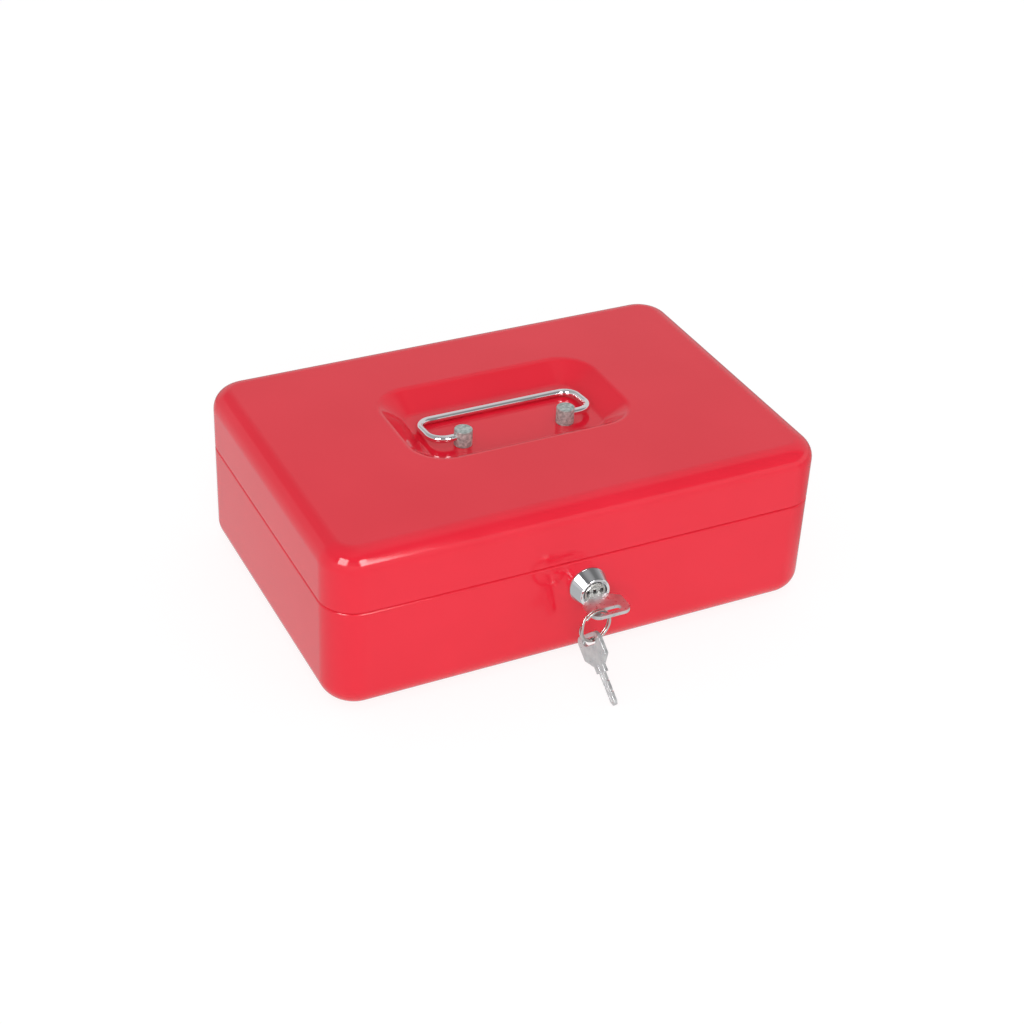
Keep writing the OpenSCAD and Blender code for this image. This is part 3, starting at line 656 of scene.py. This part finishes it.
lock_washer = washer("lock_washer", NUT_FLATS / 2, BARREL_R + SLIP, WASHER_T)
smooth(lock_washer, 30)
settle(lock_washer, AT_LOCK @ Matrix.Translation((0, 0, -SHEET - WASHER_T)))
finish_piece(lock_washer, zinc, "base", "lock_washer")

# The hexagon is cut to a turned shape that holds both the bore and the chamfers, and that
# reaches 1 mm past the nut's corners.
nut_r = NUT_FLATS / 2 / math.cos(math.pi / 6)
nut = begin(
    "lock_nut", bpy.ops.mesh.primitive_cylinder_add, vertices=6, radius=nut_r, depth=NUT_T,
)
flat_r, bore_r, far_r = NUT_FLATS / 2, BARREL_R + SLIP, nut_r + 1 * MM
face_r = flat_r - NUT_T * 0.9
far_h = NUT_T / 2 - (far_r - flat_r) * NUT_SLOPE
rounding = turned("rounding", [
    (bore_r, -NUT_T), (bore_r, NUT_T), (face_r, NUT_T), (flat_r, NUT_T / 2), (far_r, far_h),
    (far_r, -far_h), (flat_r, -NUT_T / 2), (face_r, -NUT_T), (bore_r, -NUT_T),
])
carve(nut, rounding, "INTERSECT")
smooth(nut, 25)
nut_middle = Matrix.Translation((0, 0, NUT_BACK + NUT_T / 2))
settle(nut, AT_LOCK @ nut_middle @ Matrix.Rotation(math.pi / 6, 4, "Z"))
finish_piece(nut, zinc, "base", "lock_nut")

# ---- Plug, cam and screw ----
# Nickel-plated zinc plug with a wide recess for the key's shoulder and the keyway
# behind it. A stamped cam sits on its tail, held by a washer and a slotted screw.

KEY_T, KEY_PLAY = 1.8 * MM, 0.2 * MM
SHOULDER_W, BLADE_W = 8 * MM, 3.6 * MM
PLUG_FACE = 7.8 * MM
SHOULDER_SINK = 1.2 * MM
KEYWAY_END = -9.3 * MM
PIT_R, PIT_L, PIT_RISE = 0.85 * MM, 6 * MM, 0.35 * MM
PITS_X = (-3.7, -0.4, 3.3)  # millimetres


def block(name, x0, x1, y0, y1, z0, z1):
    """Starts a square block between two corners."""
    return begin(
        name, bpy.ops.mesh.primitive_cube_add, size=1,
        location=((x0 + x1) / 2, (y0 + y1) / 2, (z0 + z1) / 2),
        scale=(x1 - x0, y1 - y0, z1 - z0),
    )


# Nickel plate over die casting, tumbled: warm silver, satin, with fine handling marks.
plug_nickel, tree, shader = surface("satin_nickel_plate", "C9C8C4", metallic=1.0, roughness=0.24)
tree.links.new(shaded(tree, grain(tree, 1.5, 3.0), "BDBCB8", "D9D8D4"), shader.inputs["Base Color"])
rough_from(tree, shader, grain(tree, 0.8), 0.18, 0.34)

plug = turned("lock_plug", in_mm(
    (0, -13), (4.4, -13), (4.6, -12.8), (4.6, 6.2), (5.4, 6.2), (5.4, 7.5), (5.32, 7.7),
    (5.1, 7.8), (4.75, 7.8), (4.65, 7.66), (4.55, 7.8), (0, 7.8),
))
half_t = KEY_T / 2 + KEY_PLAY
for name, width, bottom, top in (
    ("recess", SHOULDER_W, PLUG_FACE - SHOULDER_SINK, PLUG_FACE + 1 * MM),
    ("keyway", BLADE_W, KEYWAY_END, PLUG_FACE),
):
    half_w = width / 2 + KEY_PLAY
    carve(plug, block(name, -half_w, half_w, -half_t, half_t, bottom, top))
for x in PITS_X:
    pit = begin(
        "pit", bpy.ops.mesh.primitive_cylinder_add, vertices=32, radius=PIT_R, depth=PIT_L,
        location=(x * MM, half_t + PIT_RISE, PLUG_FACE),
    )
    carve(plug, pit)
smooth(plug, 30)
settle(plug, AT_LOCK)
finish_piece(plug, plug_nickel, "plug", "lock_plug")

CAM_R, CAM_T, CAM_BACK = 4.6 * MM, 2 * MM, -15 * MM
CAM_REACH, CAM_W = 20 * MM, 7 * MM
CAM_TIP = 0.98 * CAM_W / 2
CAM_WASHER_R, CAM_WASHER_T = 4.1 * MM, 0.6 * MM
SCREW_R = 1.5 * MM
SCREW_SLOT = (-4, 4, -0.5, 0.5, -18.6, -16.6)  # millimetres
STAMPED = 0.2 * MM  # round of thick stampings' edges

cam = begin(
    "lock_cam", bpy.ops.mesh.primitive_cylinder_add, vertices=64, radius=CAM_R, depth=CAM_T,
    location=(0, 0, CAM_BACK + CAM_T / 2),
)
cam_arm = block("cam_arm", -CAM_W / 2, CAM_W / 2, 0, CAM_REACH, CAM_BACK, CAM_BACK + CAM_T)
pick("edges", lambda edge: all(v.co.y > CAM_REACH - NEAR for v in edge.verts)
     and abs(edge.verts[0].co.z - edge.verts[1].co.z) > CAM_T / 2)
bpy.ops.mesh.bevel(offset=CAM_TIP, segments=16, affect="EDGES")
carve(cam, cam_arm, "UNION")
screw_hole = begin(
    "screw_hole", bpy.ops.mesh.primitive_cylinder_add, vertices=32, radius=SCREW_R,
    depth=3 * CAM_T, location=(0, 0, CAM_BACK),
)
carve(cam, screw_hole)
ease_edges(cam, STAMPED)
smooth(cam, 30)
settle(cam, AT_LOCK)
finish_piece(cam, zinc, "plug", "lock_cam")

cam_washer = washer("cam_washer", CAM_WASHER_R, SCREW_R, CAM_WASHER_T)
smooth(cam_washer, 30)
settle(cam_washer, AT_LOCK @ Matrix.Translation((0, 0, CAM_BACK - CAM_WASHER_T)))
finish_piece(cam_washer, zinc, "plug", "cam_washer")

screw = turned("cam_screw", in_mm(
    (0, -17.6), (1.9, -17.5), (2.6, -17.25), (2.9, -16.8), (3, -16.4), (3, -15.6), (1.45, -15.6),
    (1.45, -10.8), (0, -10.8),
), steps=48)
carve(screw, block("screw_slot", *(side * MM for side in SCREW_SLOT)))
smooth(screw, 30)
settle(screw, AT_LOCK)
finish_piece(screw, zinc, "plug", "cam_screw")

# ---- Wafers and their springs ----
# Four stamped brass wafers in the plug, each held by a hair-thin coil spring. They are
# shut inside the lock, so their solids serve as they are.

# Rolled brass: warm yellow with a dull, slightly streaky face.
brass, tree, shader = surface("rolled_brass", "C9A45A", metallic=1.0, roughness=0.32)
tree.links.new(shaded(tree, grain(tree, 0.8, 3.0), "B8934C", "D6B368"), shader.inputs["Base Color"])

# Hard-drawn spring wire: grey steel with a drawn sheen.
spring_wire, tree, shader = surface("drawn_spring_wire", "A3A4A6", metallic=1.0, roughness=0.26)
tree.links.new(shaded(tree, grain(tree, 0.4), "94959A", "B2B3B5"), shader.inputs["Base Color"])

for name, material in (("wafers", brass), ("wafer_springs", spring_wire)):
    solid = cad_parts[name]
    solid.data.materials.clear()
    solid.data.materials.append(material)

# ---- Keys ----
# Two flat keys stamped from nickel-plated brass: a bow with a slot for the ring, a
# wide shoulder and a blade that is grooved on both faces and cut on both edges.

BOW_W, BOW_L, BOW_SLANT, BOW_ROUND = 19.6 * MM, 15.5 * MM, 4 * MM, 4 * MM
SHOULDER_L, BLADE_L = 3.5 * MM, 15.7 * MM
SHOULDER_END = BOW_L + SHOULDER_L
SHOULDER_STEP = 0.05 * MM
KEY_L = SHOULDER_END + BLADE_L
TIP_W = 1.44 * MM
RING_SLOT_W, RING_SLOT_L, RING_SLOT_Y = 3.4 * MM, 11.2 * MM, 3.7 * MM
FIRST_CUT, CUT_PITCH, CUT_DEPTH = 22.8 * MM, 2.6 * MM, 0.5 * MM
GROOVE_W, GROOVE_DEEP, GROOVE_ROUND = 1 * MM, 0.35 * MM, 0.45 * MM
GROOVE_FROM, GROOVE_TO = BOW_L - 0.8 * MM, KEY_L - 1.6 * MM
KEY_EDGE = 0.18 * MM
BOW_END_Y = -109.8 * MM


def widen(width_now, width_next, y):
    """Scales the selected end of a flat piece across its length."""
    bpy.ops.transform.resize(value=(width_next / width_now, 1, 1), center_override=(0, y, 0))


def flat_key(name):
    """A key in its own plane: its bow's end at y = 0, its tip at y = KEY_L."""
    low = BOW_L - BOW_SLANT
    key = begin(name, bpy.ops.mesh.primitive_plane_add, size=1, location=(0, low / 2, -KEY_T / 2))
    bpy.ops.transform.resize(value=(BOW_W, low, 1), center_override=(0, low / 2, 0))
    pick("verts", lambda vert: vert.co.y < NEAR)
    bpy.ops.mesh.bevel(offset=BOW_ROUND, segments=10, affect="VERTICES")
    pick("edges", lambda edge: all(v.co.y > low - NEAR for v in edge.verts))
    for y, width_now, width_next in (
        (BOW_L, BOW_W, SHOULDER_W),
        (SHOULDER_END, SHOULDER_W, SHOULDER_W),
        (SHOULDER_END + SHOULDER_STEP, SHOULDER_W, BLADE_W),
        (KEY_L - BLADE_W / 2, BLADE_W, BLADE_W),
        (KEY_L, BLADE_W, TIP_W),
    ):
        pull(0, y - low, 0)
        widen(width_now, width_next, y)
        low = y
    join_up()
    bpy.ops.mesh.dissolve_limited(angle_limit=math.radians(1))
    pull(0, 0, KEY_T)
    turn_out()
    slot = round_plate(
        "slot", RING_SLOT_L, RING_SLOT_W, 0.499 * RING_SLOT_W, -KEY_T, y=RING_SLOT_Y,
    )
    pull(0, 0, 2 * KEY_T)
    turn_out()
    carve(key, slot)
    cut_side = 2 * CUT_DEPTH * math.sqrt(2)
    for n in range(4):
        side = 1 if n % 2 == 0 else -1
        cut = begin(
            "cut", bpy.ops.mesh.primitive_cube_add, size=1, rotation=(0, 0, math.pi / 4),
            location=(side * (BLADE_W / 2 + CUT_DEPTH), FIRST_CUT + n * CUT_PITCH, 0),
            scale=(cut_side, cut_side, 2 * KEY_T),
        )
        carve(key, cut)
    for face_z in (-KEY_T / 2, KEY_T / 2):
        groove = block(
            "groove", -GROOVE_W / 2, GROOVE_W / 2, GROOVE_FROM, GROOVE_TO,
            face_z - GROOVE_DEEP, face_z + GROOVE_DEEP,
        )
        pick("edges", lambda edge: abs(edge.verts[0].co.z - edge.verts[1].co.z) > GROOVE_DEEP)
        bpy.ops.mesh.bevel(offset=GROOVE_ROUND, segments=4, affect="EDGES")
        carve(key, groove)
    ease_edges(key, KEY_EDGE, 40)
    smooth(key, 35)
    return key


# Nickel-plated brass, tumbled with its fellows: pale warm grey, satin, with small
# scuffs that dull it here and there.
key_nickel, tree, shader = surface("tumbled_nickel_plate", "D3D3D4", metallic=0.9, roughness=0.3)
tree.links.new(shaded(tree, grain(tree, 4.0, 2.0), "CBCBCD", "DDDDDD"), shader.inputs["Base Color"])
rough_from(tree, shader, grain(tree, 2.0), 0.26, 0.36)
raised(tree, shader, grain(tree, 1.2), 0.004, 0.3)

# Where the ring is, and where and how far round the spare key hangs on it.
RING_TURN = math.radians(9)
RING_MIDDLE = Vector((-7.7, -106.98, 33.8)) * MM
RING_R = 7.8 * MM
SPARE_LEAN = math.radians(-90 - 43.42)
SPARE_HANGS_AT = Vector((-3.7, -3.5, 0)) * MM

key = flat_key("key")
settle(key, Matrix.Translation((0, BOW_END_Y, LOCK_Z)))
finish_piece(key, key_nickel, "key", "key")

spare = flat_key("spare_key")
settle(
    spare,
    Matrix.Translation(RING_MIDDLE) @ Matrix.Rotation(RING_TURN, 4, "Z")
    @ Matrix.Translation((0, 0, -RING_R)) @ Matrix.Rotation(SPARE_LEAN, 4, "X")
    @ Matrix.Rotation(math.pi / 2, 4, "Y") @ Matrix.Translation(SPARE_HANGS_AT),
)
finish_piece(spare, key_nickel, "spare", "spare_key")

# ---- Split ring ----
# Two flat turns of spring steel wire that lie side by side, joined by one step where
# a key is threaded on. Bright nickel plated.

RING_T, RING_W = 1.2 * MM, 2 * MM
TURN_W, TURN_EDGE = 0.86 * MM, 0.2 * MM
HALF_PITCH = (RING_W - TURN_W) / 2
STEP_ANGLE, STEP_PARTS = math.radians(30), 8
STEP_AT = math.radians(152)

# Bright nickel on spring steel: warmer and a little darker than the chrome.
ring_nickel, tree, shader = surface("bright_nickel_plate", "CFCBC7", metallic=1.0, roughness=0.12)
rough_from(tree, shader, grain(tree, 1.5), 0.09, 0.17)


def turn_on(angle, steps):
    """Carries the selected wire end on round the ring's axis."""
    bpy.ops.mesh.spin(steps=steps, angle=-angle, center=(0, 0, 0), axis=(0, 0, 1))


ring = begin(
    "key_ring", bpy.ops.mesh.primitive_plane_add, size=1,
    location=(RING_R, 0, -HALF_PITCH), rotation=(math.pi / 2, 0, 0),
)
bpy.ops.transform.resize(value=(RING_T, 1, TURN_W), center_override=(RING_R, 0, -HALF_PITCH))
bpy.ops.mesh.bevel(offset=TURN_EDGE, segments=3, affect="VERTICES")
bpy.ops.mesh.delete(type="ONLY_FACE")
bpy.ops.mesh.select_all(action="SELECT")
flat_turn = 2 * math.pi - STEP_ANGLE
turn_on(flat_turn, 72)
for n in range(STEP_PARTS):
    turn_on(STEP_ANGLE / STEP_PARTS, 1)
    bpy.ops.transform.translate(value=(0, 0, 2 * HALF_PITCH / STEP_PARTS))
turn_on(flat_turn, 72)
join_up()
bpy.ops.mesh.fill_holes(sides=0)
turn_out()
smooth(ring, 45)
settle(
    ring,
    Matrix.Translation(RING_MIDDLE) @ Matrix.Rotation(RING_TURN, 4, "Z")
    @ Matrix.Rotation(math.pi / 2, 4, "X") @ Matrix.Rotation(STEP_AT + STEP_ANGLE / 2, 4, "Z"),
)
finish_piece(ring, ring_nickel, "ring", "key_ring")

# ---- Lid catch ----
# Strip of zinc-plated steel spot-welded inside the lid's front wall. It steps over the
# rim and hangs down behind it, and the cam swings over its hook.

CATCH_X, CATCH_W, CATCH_T = 17 * MM, 12 * MM, 1.2 * MM
CATCH_BEND = 1.1 * MM
CATCH_RUN = ((-82.5, 74), (-82.5, 65.6), (-78.7, 65.6), (-78.7, 34.1), (-68.3, 34.1))

(y, z), *rest = in_mm(*CATCH_RUN)
catch = begin("lid_catch", bpy.ops.mesh.primitive_plane_add, size=1, location=(CATCH_X, y, z))
bpy.ops.transform.resize(value=(CATCH_W, 0, 1), center_override=(CATCH_X, y, z))
bpy.ops.mesh.remove_doubles(threshold=NEAR)
for next_y, next_z in rest:
    pull(0, next_y - y, next_z - z)
    y, z = next_y, next_z
pick("edges", lambda edge: len(edge.link_faces) == 2)
bpy.ops.mesh.bevel(offset=CATCH_BEND, segments=6, affect="EDGES")
modify(catch, "SOLIDIFY", thickness=CATCH_T, offset=0, use_even_offset=True)
ease_edges(catch, STAMPED)
smooth(catch, 35)
finish_piece(catch, zinc, "lid", "lid_catch")

# ---- Hinges ----
# Two butt hinges spot-welded across the seam behind: rolled steel leaves sprayed with
# the box, and a plain zinc-plated pin with its ends spread.

HINGE_X, HINGE_W = 70 * MM, 45 * MM
LEAF_H, LEAF_T, LEAF_CORNER = 16 * MM, 1.2 * MM, 2 * MM
KNUCKLE_R, KNUCKLE_EDGE = 2.75 * MM, 0.25 * MM
KNUCKLE_GAP, KNUCKLE_ROOM = 0.3 * MM, 0.4 * MM
KNUCKLE_W = (HINGE_W - 2 * KNUCKLE_GAP) / 3
KNUCKLE_PITCH = KNUCKLE_W + KNUCKLE_GAP
PIN_R, PIN_Y = 1.5 * MM, 87.05 * MM
PIN_HEAD = ((2.1, 0), (2.1, 0.2), (2.0, 0.45), (1.5, 0.7), (0, 0.75))  # radius, past the end
SEAM_Z = 54 * MM
WELD_H, WELD_PITCH = 11 * MM, 14 * MM
WELD_BALL, WELD_DEEP = 12 * MM, 0.2 * MM


def bar_along_x(name, radius, length, x):
    """Starts a round bar on the hinge's axis."""
    return begin(
        name, bpy.ops.mesh.primitive_cylinder_add, vertices=48, radius=radius, depth=length,
        location=(x, PIN_Y, SEAM_Z), rotation=(0, math.pi / 2, 0),
    )


def hinge_leaf(name, middle, up):
    """One leaf: a plate, its rolled knuckles and the dents of its spot welds."""
    own, others = ((-1, 1), (0,)) if up < 0 else ((0,), (-1, 1))
    back_wall = BOX_D / 2
    leaf = block(
        name, middle - HINGE_W / 2, middle + HINGE_W / 2, back_wall, back_wall + LEAF_T,
        *sorted((SEAM_Z, SEAM_Z + up * LEAF_H)),
    )
    pick("edges", lambda edge: abs(edge.verts[0].co.y - edge.verts[1].co.y) > LEAF_T / 2
         and abs(edge.verts[0].co.z - SEAM_Z) > LEAF_H / 2)
    bpy.ops.mesh.bevel(offset=LEAF_CORNER, segments=6, affect="EDGES")
    for n in others:
        carve(leaf, bar_along_x(
            "room", KNUCKLE_R + KNUCKLE_ROOM, KNUCKLE_W + 2 * KNUCKLE_GAP,
            middle + n * KNUCKLE_PITCH,
        ))
    for n in (-1, 0, 1):
        dent = begin(
            "dent", bpy.ops.mesh.primitive_uv_sphere_add, segments=48, ring_count=24,
            radius=WELD_BALL, location=(
                middle + n * WELD_PITCH, back_wall + LEAF_T + WELD_BALL - WELD_DEEP,
                SEAM_Z + up * WELD_H,
            ),
        )
        carve(leaf, dent)
    ease_edges(leaf, STAMPED)
    for n in own:
        roll = bar_along_x("roll", KNUCKLE_R, KNUCKLE_W, middle + n * KNUCKLE_PITCH)
        pick("faces", lambda face: abs(face.normal.x) > FACING)
        bpy.ops.mesh.bevel(offset=KNUCKLE_EDGE, segments=2, affect="EDGES")
        carve(leaf, roll, "UNION")
    carve(leaf, bar_along_x("pin_hole", PIN_R + SLIP, 2 * HINGE_W, middle))
    smooth(leaf)
    return leaf


for side, hand in ((-1, "left"), (1, "right")):
    for up, body in ((-1, "base"), (1, "lid")):
        leaf = hinge_leaf(f"leaf_{body}_{hand}", side * HINGE_X, up)
        finish_piece(leaf, enamel, body, f"hinge_leaf_{body}_{hand}")
    end = HINGE_W / 2
    low_head = [(radius, -end - past) for radius, past in in_mm(*reversed(PIN_HEAD))]
    high_head = [(radius, end + past) for radius, past in in_mm(*PIN_HEAD)]
    pin = turned(f"pin_{hand}", low_head + [(PIN_R, -end), (PIN_R, end)] + high_head, steps=48)
    smooth(pin, 35)
    on_hinge = Matrix.Translation((side * HINGE_X, PIN_Y, SEAM_Z))
    settle(pin, on_hinge @ Matrix.Rotation(math.pi / 2, 4, "Y"))
    finish_piece(pin, zinc, "base", f"hinge_pin_{hand}")

# ---- Coin tray ----
# Injection-moulded tray that hangs by its flange on the base's rim: five coin cups with
# scooped floors, one long bay for notes, and a notch that clears the lock.

TRAY_LOW, SEAT_Z, TRAY_TOP = 36.2 * MM, 64.2 * MM, 65.7 * MM
TRAY_X, TRAY_Y, TRAY_R = 120.2 * MM, 79.2 * MM, 12.2 * MM
FLANGE = 3 * MM
WALL = 1.6 * MM
TRAY_EDGE = 0.35 * MM
TRAY_FLOOR = TRAY_LOW + WALL
DIVIDER_TOP = 55.2 * MM
CUTTER_TOP = DIVIDER_TOP + 1 * MM
INNER_X, INNER_Y, INNER_R = TRAY_X - WALL, TRAY_Y - WALL, TRAY_R - WALL
NOTCH_X, NOTCH_Y, NOTCH_R = 30 * MM, -64.1 * MM, 2 * MM
IN_FRONT_Y = -96.92 * MM  # clear of the tray, where the notch's cutter starts
CUP_R, SCOOP_R = 3.2 * MM, 14 * MM
CUP_BACK, BAY_FRONT = -3.6 * MM, -2 * MM
CUP_SPLIT = 75.1 * MM  # middle of the wall between the outer two cups


def rounded_block(name, x0, x1, y0, y1, z0, z1, radius):
    """Block with round upright corners."""
    piece = round_plate(name, x1 - x0, y1 - y0, radius, z0, (x0 + x1) / 2, (y0 + y1) / 2, 8)
    pull(0, 0, z1 - z0)
    turn_out()
    return piece


def block_about(name, half_x, half_y, z0, z1, radius):
    """The same, about the middle of the tray."""
    return rounded_block(name, -half_x, half_x, -half_y, half_y, z0, z1, radius)


def cup_space(x0, x1, y0, y1):
    """Space of a coin cup: its floor curves up at the front and back."""
    space = rounded_block("cup", x0, x1, y0, y1, TRAY_FLOOR, CUTTER_TOP, CUP_R)
    scoop = block("scoop", x0 - 1 * MM, x1 + 1 * MM, y0, y1, TRAY_FLOOR, DIVIDER_TOP + 30 * MM)
    pick("edges", lambda edge: all(v.co.z < TRAY_FLOOR + NEAR for v in edge.verts)
         and abs(edge.verts[0].co.y - edge.verts[1].co.y) < NEAR)
    bpy.ops.mesh.bevel(offset=SCOOP_R, segments=12, affect="EDGES")
    carve(space, scoop, "INTERSECT")
    return space


def within_walls(space):
    """Gives a space that reaches the tray's corners the round of its inner wall."""
    walls = block_about("walls", INNER_X, INNER_Y, 0, 2 * TRAY_TOP, INNER_R)
    carve(space, walls, "INTERSECT")
    return space


tray = block_about("coin_tray", TRAY_X, TRAY_Y, TRAY_LOW, TRAY_TOP, TRAY_R)
flange = block_about(
    "flange", TRAY_X + FLANGE, TRAY_Y + FLANGE, SEAT_Z, TRAY_TOP, TRAY_R + FLANGE,
)
carve(tray, flange, "UNION")
notch = rounded_block(
    "notch", -NOTCH_X, NOTCH_X, IN_FRONT_Y, NOTCH_Y, 0, 2 * TRAY_TOP, NOTCH_R,
)
carve(tray, notch)

# All above the dividers is open, but for the wall round the notch.
opening = block_about("opening", INNER_X, INNER_Y, DIVIDER_TOP, 2 * TRAY_TOP, INNER_R)
notch_wall = rounded_block(
    "notch_wall", -NOTCH_X - WALL, NOTCH_X + WALL, -2 * TRAY_Y, NOTCH_Y + WALL,
    0, 3 * TRAY_TOP, NOTCH_R,
)
carve(opening, notch_wall)
carve(tray, opening)
for side in (-1, 1):
    for near, far in ((NOTCH_X + WALL, CUP_SPLIT - WALL / 2), (CUP_SPLIT + WALL / 2, INNER_X)):
        x0, x1 = sorted((side * near, side * far))
        carve(tray, within_walls(cup_space(x0, x1, -INNER_Y, CUP_BACK)))
carve(tray, cup_space(-NOTCH_X, NOTCH_X, NOTCH_Y + WALL, CUP_BACK))
bay = rounded_block(
    "bay", -INNER_X, INNER_X, BAY_FRONT, INNER_Y, TRAY_FLOOR, CUTTER_TOP, CUP_R,
)
carve(tray, within_walls(bay))
ease_edges(tray, TRAY_EDGE, 50)
smooth(tray, 40)

# Moulded ABS: black-grey, half gloss, with the fine spark-eroded texture of its mould,
# drawn a little coarser than it is so that it shows.
tray_plastic, tree, shader = surface("moulded_abs", "2B2C2E", roughness=0.42, IOR=1.53)
tree.links.new(shaded(tree, grain(tree, 25), "292A2C", "2E2F31"), shader.inputs["Base Color"])
rough_from(tree, shader, grain(tree, 0.8), 0.36, 0.5)
raised(tree, shader, grain(tree, 0.6), 0.03, 0.6)
finish_piece(tray, tray_plastic, "tray", "coin_tray")
